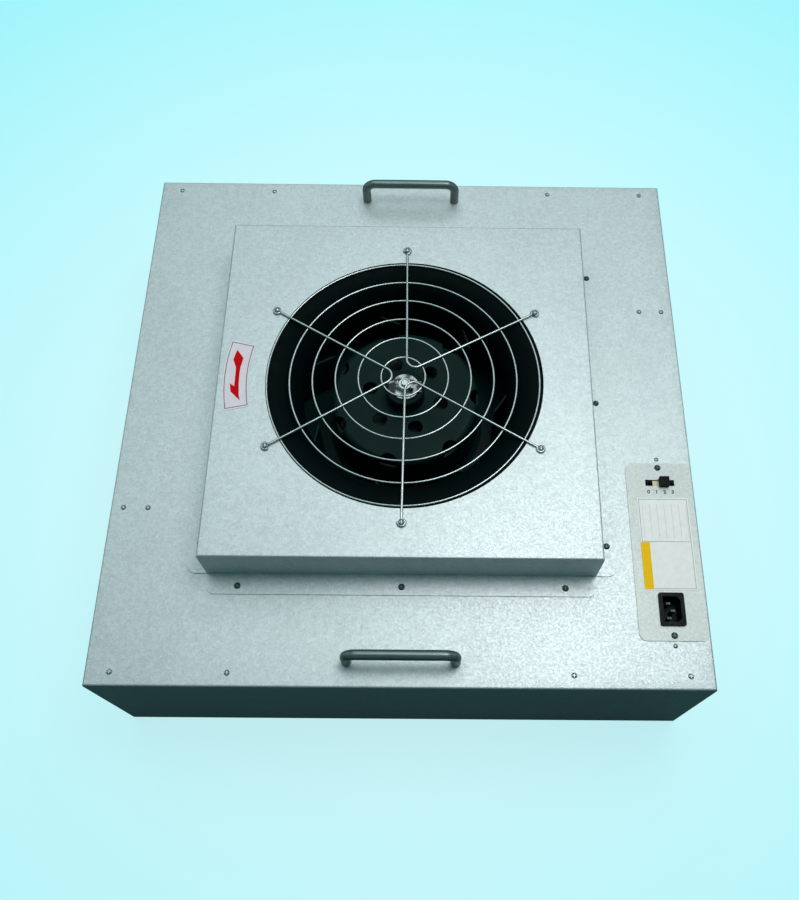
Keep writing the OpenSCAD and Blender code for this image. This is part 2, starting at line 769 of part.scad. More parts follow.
slider_t = 0.6;
slider_reach = [10.7, 6.3];
slider_d = 5.4;
track_t = 1;
track_top = body_h - slider_t - 2 * rub_gap;
track_under = track_top - track_t;
switch_wall = 1.5;
switch_l = slot_l + 4 * switch_wall;
switch_w = 11;
switch_body_h = 11;
foot_w = 6;
foot_h = 4;
foot_drop = 5;
ridge_count = 5;
ridge_pitch = 1.6;
ridge_w = 0.7;
ridge_depth = 0.6;

module switch_track() color("black") translate([switch_c[0], switch_c[1], track_under]) difference() {
    translate([-switch_l / 2, -switch_w / 2, 0]) cube([switch_l, switch_w, track_t]);
    translate([-slot_l / 2, -stem_d / 2 - rub_gap, -1]) cube([slot_l, stem_d + 2 * rub_gap, track_t + 2]);
}

module switch_body() color("dimgray") translate([switch_c[0], switch_c[1], track_under - switch_body_h])
    difference() {
        translate([-switch_l / 2, -switch_w / 2, 0]) cube([switch_l, switch_w, switch_body_h]);
        translate([-switch_l / 2 + switch_wall, -switch_w / 2 + switch_wall, switch_wall])
            cube([switch_l - 2 * switch_wall, switch_w - 2 * switch_wall, switch_body_h]);
    }

module switch_knob() color("black") translate([switch_knob_x, switch_c[1], 0]) {
    difference() {
        translate([0, 0, plate_top + rub_gap]) rotate([90, 0, 0]) translate([0, 0, -knob_d / 2])
            linear_extrude(knob_d) fold_section(knob_w, knob_h, 1);
        for (i = [0:ridge_count - 1])
            translate([(i - (ridge_count - 1) / 2) * ridge_pitch - ridge_w / 2, -knob_d / 2 - 1,
                plate_top + rub_gap + knob_h - ridge_depth]) cube([ridge_w, knob_d + 2, 2]);
    }
    translate([-stem_w / 2, -stem_d / 2, track_under - foot_drop + 1]) cube([stem_w, stem_d, knob_h]);
    translate([-foot_w / 2, -foot_w / 2, track_under - foot_drop]) cube([foot_w, foot_w, foot_h]);
}

// Pale strip that closes the slot beside the knob's stem and moves with it.
module switch_slider() color("wheat")
    translate([switch_knob_x, switch_c[1], track_top + rub_gap]) linear_extrude(slider_t) difference() {
        translate([-slider_reach[0], -slider_d / 2]) square([slider_reach[0] + slider_reach[1], slider_d]);
        square([stem_w + 2 * fit, stem_d + 2 * fit], center = true);
    }

// ---- Wiring ----

module wiring_box() color("darkgray") difference() {
    union() {
        translate([box_x1, box_y1, box_z]) cube([2 * box_half_w, box_l, box_h]);
        translate([plate_x - box_tab_w / 2, box_y1 - box_tab_l, panel_under - box_wall])
            cube([box_tab_w, box_l + 2 * box_tab_l, box_wall]);
    }
    translate([box_x1 + box_wall, box_y1 + box_wall, box_z + box_wall])
        cube([2 * (box_half_w - box_wall), box_l - 2 * box_wall, box_h]);
    holes(plate_screw_xy, pan_shank_r + hole_gap, panel_under - box_wall, panel_under);
    holes(plate_rivet_xy, small_shank_r + hole_gap, panel_under - box_wall, panel_under);
    for (y = [motor_lead_y, capacitor_lead_y]) translate([box_x1 - 1, y, lead_box_z])
        rotate([0, 90, 0]) cylinder(r = lead_r + grommet_t, h = box_wall + 2);
}

grommet_t = 2;
grommet_lip = 1.5;
block_ways = 4;
block_pitch = 9;
block_w = 18;
block_h = 14;
block_shift = [4, -5];
entry_r = 2.4;
entry_x = 5;

// Terminal block: one round entry at each side of every way, and a rib's gap between the ways.
module terminal_block() color("ivory")
    translate([plate_x + block_shift[0], plate_y + block_shift[1], box_z + box_wall]) difference() {
        translate([-block_w / 2, -block_ways * block_pitch / 2, 0])
            cube([block_w, block_ways * block_pitch, block_h]);
        for (i = [0:block_ways - 1], s = [-1, 1])
            translate([s * entry_x, (i - (block_ways - 1) / 2) * block_pitch, block_h / 2])
                cylinder(r = entry_r, h = block_h);
        for (i = [1:block_ways - 1])
            translate([-block_w / 2 - 1, (i - block_ways / 2) * block_pitch - 0.5, block_h * 2 / 3])
                cube([block_w + 2, 1, block_h]);
    }

module lead_grommets() color("black")
    for (y = [motor_lead_y, capacitor_lead_y]) translate([box_x1, y, lead_box_z])
        rotate([0, 90, 0]) difference() {
        union() {
            for (z = [-grommet_lip, box_wall])
                translate([0, 0, z]) cylinder(r = lead_r + grommet_t + grommet_lip, h = grommet_lip);
            translate([0, 0, -eps]) cylinder(r = lead_r + grommet_t - fit, h = box_wall + 2 * eps);
        }
        translate([0, 0, -2 * grommet_lip]) cylinder(r = lead_r + fit, h = box_wall + 4 * grommet_lip);
    }

module motor_lead() color("dimgray") bent_bar(motor_lead_path, lead_r, lead_bend);

module capacitor_lead() color("dimgray") bent_bar(capacitor_lead_path, lead_r, lead_bend);

module cable_clips() color("ivory")
    for (x = lead_clip_x) translate([x - clip_w / 2, motor_lead_y, 0]) difference() {
        union() {
            translate([0, -clip_stem_w / 2, deck_z]) cube([clip_w, clip_stem_w, lead_z - deck_z]);
            translate([0, -clip_foot_l / 2, deck_z]) cube([clip_w, clip_foot_l, clip_foot_t]);
            translate([0, 0, lead_z]) rotate([0, 90, 0]) cylinder(r = lead_r + clip_wall, h = clip_w);
        }
        translate([-1, 0, lead_z]) rotate([0, 90, 0]) cylinder(r = lead_r + fit, h = clip_w + 2);
    }

// ---- Fan wheel ----

// Thin raised hat and back plate as one turned section, z up.
module hat_section() {
    top_r = 6;
    foot_r = 8;
    side_r = hub_r;
    polygon(concat(
        [[boss_spigot_r + fit, hub_top]],
        arc([side_r - top_r, hub_top - top_r], top_r, 90, 0),
        arc([side_r + foot_r, back_z + back_t + foot_r], foot_r, 180, 270),
        [[impeller_r, back_z + back_t], [impeller_r, back_z]],
        arc([side_r + foot_r, back_z + foot_r + back_t], foot_r + back_t, 270, 180),
        arc([side_r - top_r, hub_top - top_r], top_r - hub_t, 0, 90),
        [[boss_spigot_r + fit, hub_top - hub_t]]));
}

// Section of the shroud's outer face: inlet lip, quarter ellipse, then flat to the rim.
function shroud_curve(shift) = concat(
    [[shroud_in_r + shift, shroud_in_z]],
    ellipse_arc([impeller_r - 4, hub_top - 8], impeller_r - 4 - shroud_in_r - shift,
        hub_top - 8 - shroud_out_z - shift, 180, 270),
    [[impeller_r, shroud_out_z + shift]]);

module shroud_section() {
    outer = shroud_curve(shroud_t);
    inner = shroud_curve(0);
    polygon(concat(outer, [for (i = [len(inner) - 1:-1:0]) inner[i]]));
}

blade_bend_r = (impeller_r * impeller_r - blade_in_r * blade_in_r)
    / (2 * (impeller_r * cos(blade_out_angle) - blade_in_r * cos(blade_in_angle)));
blade_centre = sqrt(blade_bend_r * blade_bend_r + blade_in_r * blade_in_r
    - 2 * blade_bend_r * blade_in_r * cos(blade_in_angle));

// Plan of one blade: a ring between two circles, cut off at its inner and outer radii.
module blade_plan() intersection() {
    translate([-blade_centre, 0]) difference() {
        circle(blade_bend_r + blade_t / 2);
        circle(blade_bend_r - blade_t / 2);
    }
    difference() {
        circle(impeller_r - 1);
        circle(blade_in_r);
    }
    translate([-impeller_r, 0]) square([2 * impeller_r, impeller_r]);
}

// Space between the back plate and the shroud that the blades fill.
module passage() rotate_extrude() polygon(concat(
    [[blade_in_r - 1, back_z + back_t / 2], [blade_in_r - 1, shroud_in_z - 8],
        [shroud_in_r + shroud_t / 2, shroud_in_z - 6]],
    ellipse_arc([impeller_r - 4, hub_top - 8], impeller_r - 4 - shroud_in_r - shroud_t / 2,
        hub_top - 8 - shroud_out_z - shroud_t / 2, 190, 270, 8),
    [[impeller_r, shroud_out_z + shroud_t / 2], [impeller_r, back_z + back_t / 2]]));

module impeller() color("darkslategray") at_fan() {
    difference() {
        rotate_extrude() hat_section();
        for (i = [0:hub_holes - 1]) rotate(first_hole + 360 / hub_holes * i)
            translate([hub_hole_pcr, 0, hub_top - hub_t - 1]) cylinder(r = hub_hole_r, h = hub_t + 2);
        for (i = [0:blade_count - 1]) rotate(first_scallop + 360 / blade_count * i)
            translate([hub_r, 0, hub_top - scallop_depth]) cylinder(r = scallop_r, h = scallop_depth + 1);
    }
    rotate_extrude() shroud_section();
    intersection() {
        translate([0, 0, back_z]) linear_extrude(passage_h) for (i = [0:blade_count - 1])
            rotate(360 / blade_count * i) blade_plan();
        passage();
    }
}

module hub_boss() color("#30383a") at_fan() difference() {
    union() {
        translate([0, 0, hub_top]) cylinder(r = boss_r, h = boss_h - 1);
        translate([0, 0, boss_top - 1]) cylinder(r1 = boss_r, r2 = boss_r - 1, h = 1);
        translate([0, 0, hub_top - hub_t - boss_spigot_h])
            cylinder(r = boss_spigot_r, h = boss_spigot_h + hub_t + eps);
    }
    translate([0, 0, hub_top - 20]) cylinder(r = shaft_r + fit, h = boss_h + 40);
}

module lock_washer() color("silver") at_fan() translate([0, 0, boss_top]) difference() {
    union() {
        cylinder(d = washer_d, h = washer_t);
        for (a = [0, 180]) rotate(a) {
            translate([nut_af / 2 + fit, -4, 0]) cube([1.5, 8, washer_t + 5]);
            translate([washer_d / 2 - 2, -6, 0]) cube([4.5, 12, washer_t]);
        }
    }
    translate([0, 0, -1]) cylinder(r = shaft_end_r + fit, h = 10);
}

module shaft() color("lightgray") at_fan() {
    translate([0, 0, shaft_bottom]) cylinder(r = shaft_r, h = boss_top - 0.5 - shaft_bottom);
    translate([0, 0, boss_top - 0.5 - eps]) cylinder(r = shaft_end_r, h = shaft_top - boss_top - 0.5);
    translate([0, 0, shaft_top - 1 - eps]) cylinder(r1 = shaft_end_r, r2 = shaft_end_r - 1, h = 1);
}

module shaft_nut() color("silver") at_fan() translate([0, 0, boss_top + washer_t])
    rotate(30) nut(nut_af, nut_h, shaft_end_r + fit);

// ---- Motor ----

module rotor_core() color("slategray") at_fan() difference() {
    union() {
        translate([0, 0, stack_z]) cylinder(r = stator_in_r - rotor_gap, h = stack_h);
        for (z = [stack_z - 3, stack_z + stack_h - eps])
            translate([0, 0, z]) cylinder(r = stator_in_r - 2, h = 3 + eps);
    }
    translate([0, 0, stack_z - 4]) cylinder(r = shaft_r + fit, h = stack_h + 8);
}

module stator_core() color("slategray") at_fan() translate([0, 0, stack_z]) difference() {
    cylinder(r = can_r - can_t - fit, h = stack_h);
    translate([0, 0, -1]) cylinder(r = stator_in_r, h = stack_h + 2);
    for (a = [0:15:345]) rotate(a) translate([stator_in_r + 4, -1.6, -1]) cube([12, 3.2, stack_h + 2]);
}

module stator_windings() color("chocolate") at_fan() {
    for (z = [stack_z - 10, stack_z + stack_h]) translate([0, 0, z]) rotate_extrude()
        translate([stator_in_r + 11, 5]) round_rect(16, 10, 3);
}

module motor_can() color("dimgray") at_fan() difference() {
    translate([0, 0, can_z]) cylinder(r = can_r, h = can_h);
    translate([0, 0, can_z - 1]) cylinder(r = can_r - can_t, h = can_h + 2);
    translate([0, 0, lead_z]) rotate([90, 0, 0]) cylinder(r = lead_r + hole_gap, h = can_r + 5);
}

module motor_base() color("silver") difference() {
    union() {
        at_fan() translate([0, 0, base_z]) linear_extrude(base_t) {
            circle(can_r + 2);
            for (a = [45:90:315]) rotate(a) {
                translate([0, -10]) square([lug_r, 20]);
                translate([lug_r, 0]) circle(10);
            }
        }
        at_fan() translate([0, 0, can_z - eps])
            cylinder(r = bearing_r + bearing_pocket_wall, h = lower_pocket_top - can_z + eps);
    }
    at_fan() translate([0, 0, lower_bearing_z]) cylinder(r = bearing_r + fit, h = bearing_w + 5);
    at_fan() translate([0, 0, shaft_bottom - 1]) cylinder(r = shaft_r + 1, h = 10);
    holes(motor_lug_xy, m5_r + hole_gap, base_z, can_z);
}

module motor_cover() color("silver") at_fan() translate([0, 0, can_top]) difference() {
    union() {
        cylinder(r = can_r, h = cover_t);
        cylinder(r1 = bearing_r + bearing_pocket_wall + 3, r2 = bearing_r + bearing_pocket_wall,
            h = cover_boss_h);
    }
    translate([0, 0, -1]) cylinder(r = bearing_r + fit, h = cover_boss_h - 3 + 1);
    cylinder(r = shaft_r + 1, h = cover_boss_h + 1);
}

// Sealed ball bearing: two rings with their shields set back, standing on z = 0.
module bearing() rotate_extrude() polygon([
    [shaft_r + fit, 0], [shaft_r + 3, 0], [shaft_r + 3, 0.6], [bearing_r - 3, 0.6], [bearing_r - 3, 0],
    [bearing_r, 0], [bearing_r, bearing_w], [bearing_r - 3, bearing_w], [bearing_r - 3, bearing_w - 0.6],
    [shaft_r + 3, bearing_w - 0.6], [shaft_r + 3, bearing_w], [shaft_r + fit, bearing_w]
]);

module upper_bearing() color("lightgray") at_fan() translate([0, 0, upper_bearing_z]) bearing();

module lower_bearing() color("lightgray") at_fan() translate([0, 0, lower_bearing_z]) bearing();

module motor_mounts() color("#202020")
    for (p = motor_lug_xy) translate([p[0], p[1], deck_z]) rotate_extrude() polygon([
        [m5_r + fit, 0], [9, 0], [8, mount_h / 2], [9, mount_h], [m5_r + fit, mount_h]
    ]);

module motor_screws() color("silver")
    for (p = motor_lug_xy) translate([p[0], p[1], deck_z - deck_t]) {
        rotate([180, 0, 0]) screw_head(m5_head_d, m5_head_h);
        translate([0, 0, -eps]) cylinder(r = m5_r, h = deck_t + mount_h + base_t + m5_nut_h + shank_past);
    }

module motor_nuts() color("silver")
    for (p = motor_lug_xy) translate([p[0], p[1], can_z]) nut(m5_af, m5_nut_h, m5_r + fit);

// ---- Fan deck ----

module fan_deck() color("lightslategray") difference() {
    union() {
        translate([-deck_w / 2, -deck_wall_y, deck_z - deck_t]) cube([deck_w, 2 * deck_wall_y, deck_t]);
        for (s = [0, 180]) rotate(s) {
            translate([-deck_end_x, deck_wall_y - deck_t, deck_z - deck_t])
                cube([2 * deck_end_x, deck_t, panel_under - deck_z + deck_t]);
            translate([-deck_end_x, deck_wall_y - deck_t, panel_under - deck_t])
                cube([2 * deck_end_x, deck_flange_end - deck_wall_y + deck_t, deck_t]);
            translate([deck_w / 2 - deck_t, -deck_wall_y, deck_z - deck_t])
                cube([deck_t, 2 * deck_wall_y, deck_lip_h + deck_t]);
        }
    }
    holes(row_screws, small_shank_r + hole_gap, panel_under - deck_t, panel_under);
    holes(handle_foot_xy, m5_r + hole_gap, panel_under - deck_t, panel_under);
    holes(motor_lug_xy, m5_r + hole_gap, deck_z - deck_t, deck_z);
    holes(stay_foot_xy, small_shank_r + hole_gap, deck_z - deck_t, deck_z);
    holes(capacitor_screw_xy, small_shank_r + hole_gap, deck_z - deck_t, deck_z);
    at_fan() translate([0, 0, deck_z - deck_t - 1]) cylinder(r = deck_hole_r, h = deck_t + 2);
}

// Folded strap from the top panel down to the underside of the deck's floor, drawn for the right side.
module deck_stay(s) rotate(s > 0 ? 0 : 180) difference() {
    translate([0, stay_y - stay_w / 2, 0]) {
        translate([stay_wall_x, 0, panel_under - stay_t]) cube([stay_top_x - stay_wall_x, stay_w, stay_t]);
        translate([stay_wall_x, 0, deck_z - deck_t - stay_t])
            cube([stay_t, stay_w, panel_under - deck_z + deck_t + stay_t]);
        translate([stay_foot_x, 0, deck_z - deck_t - stay_t])
            cube([stay_wall_x - stay_foot_x + stay_t, stay_w, stay_t]);
    }
    holes([for (i = [0, 1]) [stay_outer_x - i * stay_screw_pitch, stay_y]], small_shank_r + hole_gap,
        panel_under - stay_t, panel_under);
    holes([[stay_foot_screw_x, stay_y]], small_shank_r + hole_gap, deck_z - deck_t - stay_t, deck_z - deck_t);
}

module deck_stay_left() color("lightslategray") deck_stay(-1);

module deck_stay_right() color("lightslategray") deck_stay(1);

module stay_screws() color("silver")
    for (p = stay_foot_xy) translate([p[0], p[1], deck_z - deck_t - stay_t]) rotate([180, 0, 0])
        tapping_screw(small_shank_r, short_tapping_l, small_head_d, small_head_h);

module capacitor() color("gainsboro") translate([capacitor_c[0], capacitor_c[1], capacitor_z])
    rotate([0, 90, 0]) {
        cylinder(r = capacitor_r, h = capacitor_l - 2);
        translate([0, 0, capacitor_l - 2 - eps]) cylinder(r1 = capacitor_r, r2 = capacitor_r - 2, h = 2);
        translate([0, 0, -5]) cylinder(r = capacitor_r - 4, h = 5 + eps);
    }

module capacitor_clamp() color("silver") difference() {
    translate([capacitor_c[0] + capacitor_l / 2 - clamp_w / 2, capacitor_c[1], deck_z]) rotate([90, 0, 90])
        linear_extrude(clamp_w) difference() {
            reach = capacitor_r + clamp_t + fit;
            union() {
                translate([0, capacitor_r + rub_gap]) circle(reach);
                translate([-reach, 0]) square([2 * reach, capacitor_r + rub_gap]);
                translate([-reach - clamp_foot, 0]) square([2 * (reach + clamp_foot), clamp_t]);
            }
            translate([0, capacitor_r + rub_gap]) circle(capacitor_r + fit);
            translate([-capacitor_r - fit, -1]) square([2 * (capacitor_r + fit), capacitor_r + rub_gap + 1]);
        }
    holes(capacitor_screw_xy, small_shank_r + hole_gap, deck_z, deck_z + clamp_t);
}

module capacitor_screws() color("silver")
    for (p = capacitor_screw_xy) translate([p[0], p[1], deck_z + clamp_t])
        tapping_screw(small_shank_r, short_tapping_l, small_head_d, small_head_h);

// ---- Filter ----

module frame_ring(w, d, rim, h) difference() {
    translate([-w / 2, -d / 2, 0]) cube([w, d, h]);
    translate([-w / 2 + rim, -d / 2 + rim, -1]) cube([w - 2 * rim, d - 2 * rim, h + 2]);
}

module filter_seat() color("lightslategray") difference() {
    union() {
        translate([0, 0, seat_z]) frame_ring(inner_w, inner_d, seat_w, sheet_t);
        translate([0, 0, seat_z]) frame_ring(inner_w, inner_d, sheet_t, seat_leg_h);
    }
    holes(clamp_xy, m5_r + hole_gap, seat_z, seat_z + sheet_t);
}

module filter_gasket() color("#303434") translate([0, 0, filter_top])
    frame_ring(filter_w, filter_d, gasket_w, gasket_h);

module filter_frame() color("silver") translate([0, 0, filter_z]) {
    frame_ring(filter_w, filter_d, frame_t, filter_h);
    for (z = [0, filter_h - frame_t])
        translate([0, 0, z]) frame_ring(filter_w, filter_d, frame_lip, frame_t);
}

// Pleated paper: one zigzag section with its folds along Y.
module filter_media() color("white") {
    pitch = media_w / pleat_count;
    zigzag = [for (i = [0:2 * pleat_count]) [-media_w / 2 + i * pitch / 2, i % 2 * pleat_h]];
    flat = media_t * norm([pitch / 2, pleat_h]) / (pitch / 2);
    translate([0, 0, filter_z + (filter_h - pleat_h - flat) / 2]) rotate([90, 0, 0])
        translate([0, 0, -media_d / 2]) linear_extrude(media_d)
        polygon(concat(zigzag, [for (i = [2 * pleat_count:-1:0]) zigzag[i] + [0, flat]]));
}

module filter_grille() color("white") translate([0, 0, filter_z + frame_t]) linear_extrude(grille_t) difference() {
    gap_w = (media_w - 2 * frame_lip - (grille_gaps - 1) * grille_bar) / grille_gaps;
    gap_d = (media_d - 2 * frame_lip - (grille_gaps - 1) * grille_bar) / grille_gaps;
    square([media_w, media_d], center = true);
    for (i = [0:grille_gaps - 1], j = [0:grille_gaps - 1])
        translate([-media_w / 2 + frame_lip + i * (gap_w + grille_bar),
            -media_d / 2 + frame_lip + j * (gap_d + grille_bar)]) square([gap_w, gap_d]);
}

// Clamp plate, whose hook reaches under the filter's frame.
module filter_clamps() color("silver") for (p = clamp_places) rotate(p[0])
    translate([clamp_reach(p), p[1], filter_z - clamp_plate_t]) difference() {
        translate([-clamp_bolt_out - clamp_hook, -clamp_plate_w / 2, 0])
            cube([clamp_hook + clamp_bolt_out + clamp_end, clamp_plate_w, clamp_plate_t]);
        translate([0, 0, -1]) cylinder(r = m5_r + hole_gap, h = clamp_plate_t + 2);
    }

module clamp_bolts() color("silver") for (p = clamp_places) rotate(p[0])
    translate([clamp_reach(p), p[1], filter_z - clamp_plate_t]) {
        translate([0, 0, -bolt_head_h]) linear_extrude(bolt_head_h) hexagon(m5_af);
        translate([0, 0, -eps]) cylinder(r = m5_r,
            h = seat_z + sheet_t + m5_nut_h + shank_past - filter_z + clamp_plate_t);
    }

module clamp_nuts() color("silver") for (p = clamp_places) rotate(p[0])
    translate([clamp_reach(p), p[1], seat_z + sheet_t]) nut(m5_af, m5_nut_h, m5_r + fit);

housing_shell();
intake_collar();
inlet_nozzle();
finger_guard();
guard_screws();
collar_screws();
panel_screws();
handle_front();
handle_back();
handle_screws();
control_plate();
plate_screws();
plate_rivets();
direction_sticker();
blank_label();
power_inlet();
inlet_pins();
switch_body();
switch_track();
switch_slider();
switch_knob();
wiring_box();
terminal_block();
lead_grommets();
motor_lead();
capacitor_lead();
cable_clips();
impeller();
hub_boss();
lock_washer();
shaft();
shaft_nut();
rotor_core();
stator_core();
stator_windings();
motor_can();
motor_base();
motor_cover();
upper_bearing();
lower_bearing();
motor_mounts();
motor_screws();
motor_nuts();
fan_deck();
deck_stay_left();
deck_stay_right();
stay_screws();
capacitor();
capacitor_clamp();
capacitor_screws();
filter_seat();
filter_gasket();
filter_frame();
filter_media();
filter_grille();
filter_clamps();
clamp_bolts();
clamp_nuts();
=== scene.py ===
import json
import math

import bmesh
import bpy
import numpy as np
from mathutils import Matrix, Vector

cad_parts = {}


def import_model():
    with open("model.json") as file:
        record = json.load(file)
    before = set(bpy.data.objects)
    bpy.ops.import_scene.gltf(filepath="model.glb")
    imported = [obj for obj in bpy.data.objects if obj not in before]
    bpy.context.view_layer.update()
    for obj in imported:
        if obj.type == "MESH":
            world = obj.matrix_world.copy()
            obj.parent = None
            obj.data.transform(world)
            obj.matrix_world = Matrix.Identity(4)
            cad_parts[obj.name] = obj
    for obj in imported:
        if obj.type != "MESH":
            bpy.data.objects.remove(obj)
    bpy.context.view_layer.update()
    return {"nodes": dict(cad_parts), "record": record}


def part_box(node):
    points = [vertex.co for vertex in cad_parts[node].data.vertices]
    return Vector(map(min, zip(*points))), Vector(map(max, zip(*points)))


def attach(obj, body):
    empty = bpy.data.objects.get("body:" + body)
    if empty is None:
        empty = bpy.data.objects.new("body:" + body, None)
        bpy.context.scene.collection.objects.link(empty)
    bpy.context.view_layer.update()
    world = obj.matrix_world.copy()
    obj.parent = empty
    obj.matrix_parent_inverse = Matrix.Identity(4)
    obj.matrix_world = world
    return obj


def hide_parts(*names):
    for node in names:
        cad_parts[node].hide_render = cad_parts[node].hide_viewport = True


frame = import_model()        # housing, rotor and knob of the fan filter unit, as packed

record = frame["record"]
node_slots = {part["node"]: part["material_slot"] for part in record["subparts"]}
body_of_node = {node: body for body, nodes in record["behaviour"]["bodies"].items() for node in nodes}

# ---- Places that the dressed pieces keep to, in metres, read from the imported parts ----

HOUSING = "housing"
collar_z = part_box("intake_collar")[1][2]
plate_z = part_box("control_plate")[1][2]
nozzle_low, nozzle_high = (np.array(corner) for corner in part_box("inlet_nozzle"))
fan_axis = (nozzle_low + nozzle_high) / 2


# ---- Finishes ----

USUAL_NOISE = (0.3, 0.7)        # the range that most of a noise's values lie in


def arithmetic(tree, operation, first, second):
    """One arithmetic step between two sockets or numbers."""
    made = tree.nodes.new("ShaderNodeMath")
    made.operation = operation
    for socket, value in zip(made.inputs, (first, second)):
        if isinstance(value, bpy.types.NodeSocket):
            tree.links.new(value, socket)
        else:
            socket.default_value = value
    return made.outputs["Value"]


class Finish:
    """A material under construction: its nodes, its principled shader and its object coordinates."""

    def __init__(self, name, color, metallic=0.0, roughness=0.5, **constants):
        self.material = bpy.data.materials.new(name)
        self.material.use_nodes = True
        self.tree = self.material.node_tree
        self.shader = self.tree.nodes["Principled BSDF"]
        self.place = self.node("ShaderNodeTexCoord").outputs["Object"]
        self.color = color
        self.shader.inputs["Base Color"].default_value = (*color, 1)
        self.shader.inputs["Metallic"].default_value = metallic
        self.shader.inputs["Roughness"].default_value = roughness
        for socket, value in constants.items():
            self.shader.inputs[socket.replace("_", " ")].default_value = value

    def node(self, kind, **settings):
        """Adds a node and sets its properties."""
        made = self.tree.nodes.new(kind)
        for key, value in settings.items():
            setattr(made, key, value)
        return made

    def feed(self, made, **inputs):
        """Sets or links a node's inputs by name, then gives the node back."""
        for key, value in inputs.items():
            socket = made.inputs[key.replace("_", " ")]
            if isinstance(value, bpy.types.NodeSocket):
                self.tree.links.new(value, socket)
            else:
                socket.default_value = value
        return made

    def stretched(self, scale):
        """Object coordinates scaled by a different amount along each axis."""
        return self.feed(self.node("ShaderNodeMapping"), Vector=self.place, Scale=scale).outputs["Vector"]

    def noise(self, grain, detail=3.0, stretch=None):
        """Soft noise whose features are about grain metres wide."""
        place = self.stretched(stretch) if stretch else self.place
        made = self.feed(self.node("ShaderNodeTexNoise"), Vector=place, Scale=1 / grain, Detail=detail)
        return made.outputs["Fac"]

    def crystals(self, grain):
        """A random grey for each crystal of about grain metres."""
        made = self.feed(self.node("ShaderNodeTexVoronoi"), Vector=self.place, Scale=1 / grain)
        split = self.feed(self.node("ShaderNodeSeparateColor"), Color=made.outputs["Color"])
        return split.outputs["Red"]

    def seams(self, grain):
        """Distance to the border between crystals of about grain metres."""
        made = self.node("ShaderNodeTexVoronoi", feature="DISTANCE_TO_EDGE")
        return self.feed(made, Vector=self.place, Scale=1 / grain).outputs["Distance"]

    def spread(self, source, low, high, start=0.0, end=1.0):
        """Maps source from start..end to low..high."""
        made = self.feed(self.node("ShaderNodeMapRange"), Value=source)
        for key, value in (("From Min", start), ("From Max", end), ("To Min", low), ("To Max", high)):
            made.inputs[key].default_value = value
        return made.outputs["Result"]

    def vary(self, grain, low, high, detail=3.0, stretch=None):
        """Noise of about grain metres whose usual values run from low to high."""
        return self.spread(self.noise(grain, detail, stretch), low, high, *USUAL_NOISE)

    def product(self, *amounts):
        """All the grey amounts multiplied together."""
        total = amounts[0]
        for amount in amounts[1:]:
            total = arithmetic(self.tree, "MULTIPLY", total, amount)
        return total

    def shade(self, amount):
        """Base colour multiplied by a grey amount."""
        made = self.node("ShaderNodeMix", data_type="RGBA", blend_type="MULTIPLY")
        made.inputs["Factor"].default_value = 1
        made.inputs["A"].default_value = (*self.color, 1)
        self.tree.links.new(amount, made.inputs["B"])
        self.tree.links.new(made.outputs["Result"], self.shader.inputs["Base Color"])
        return self

    def blend_color(self, factor, other):
        """Base colour that turns to other where factor is 1."""
        made = self.node("ShaderNodeMix", data_type="RGBA")
        self.tree.links.new(factor, made.inputs["Factor"])
        made.inputs["A"].default_value = (*self.color, 1)
        made.inputs["B"].default_value = (*other, 1)
        self.tree.links.new(made.outputs["Result"], self.shader.inputs["Base Color"])
        return self

    def rough(self, amount):
        """Roughness from a grey amount."""
        self.tree.links.new(amount, self.shader.inputs["Roughness"])
        return self

    def bump(self, height, depth):
        """Raises the surface by depth metres where height is 1."""
        made = self.feed(self.node("ShaderNodeBump"), Height=height, Distance=depth, Strength=1.0)
        self.tree.links.new(made.outputs["Normal"], self.shader.inputs["Normal"])
        return self


def galvanised(name, color, spangle=0.0034, relief=0.00003, metallic=0.5):
    """Zinc in fine crystals of slightly different grey, with dull borders, smears and a soft relief."""
    zinc = Finish(name, color, metallic=metallic, roughness=0.46)
    crystal = zinc.spread(zinc.crystals(spangle), low=0.93, high=1.05)
    border = zinc.spread(zinc.seams(0.8 * spangle), low=0.93, high=1.0, end=0.12)
    grain = zinc.vary(0.45 * spangle, low=0.90, high=1.09, detail=4)
    smear = zinc.vary(0.09, low=0.97, high=1.03, detail=2, stretch=(1, 0.6, 1))
    zinc.shade(zinc.product(zinc.product(crystal, border), zinc.product(grain, smear)))
    zinc.rough(zinc.vary(0.7 * spangle, low=0.40, high=0.53))
    return zinc.bump(zinc.noise(0.6 * spangle), depth=relief)


def plain_metal(name, color, roughness=0.3, grain=0.0015, metallic=1.0):
    """Plated or drawn metal with a faint grain in its shade, gloss and relief."""
    metal = Finish(name, color, metallic=metallic, roughness=roughness)
    metal.shade(metal.vary(4 * grain, low=0.86, high=1.06, detail=4))
    metal.rough(metal.vary(2 * grain, low=roughness * 0.8, high=roughness * 1.3))
    return metal.bump(metal.noise(grain), depth=0.00001)


def brushed_bar(name, color):
    """Satin bar with fine scratches along its length."""
    bar = Finish(name, color, metallic=0.75, roughness=0.34)
    scratch = bar.noise(0.0012, detail=5, stretch=(0.06, 1, 1))
    bar.shade(bar.spread(scratch, 0.84, 1.08, *USUAL_NOISE))
    bar.rough(bar.spread(scratch, 0.26, 0.44, *USUAL_NOISE))
    return bar.bump(scratch, depth=0.00001)


def moulded(name, color, roughness=0.5, grain=0.0006, specular=0.5, dusty=0.12):
    """Moulded plastic or paint with a pebbled skin and faint dust, which is paler by dusty."""
    skin = Finish(name, color, roughness=roughness, Specular_IOR_Level=specular)
    dust = skin.spread(skin.noise(0.02, detail=4), low=0.0, high=0.10, start=0.45, end=0.8)
    skin.blend_color(dust, tuple(0.5 * channel + dusty for channel in color))
    skin.rough(skin.vary(0.012, low=roughness * 0.8, high=roughness * 1.25))
    return skin.bump(skin.noise(grain), depth=0.00002)


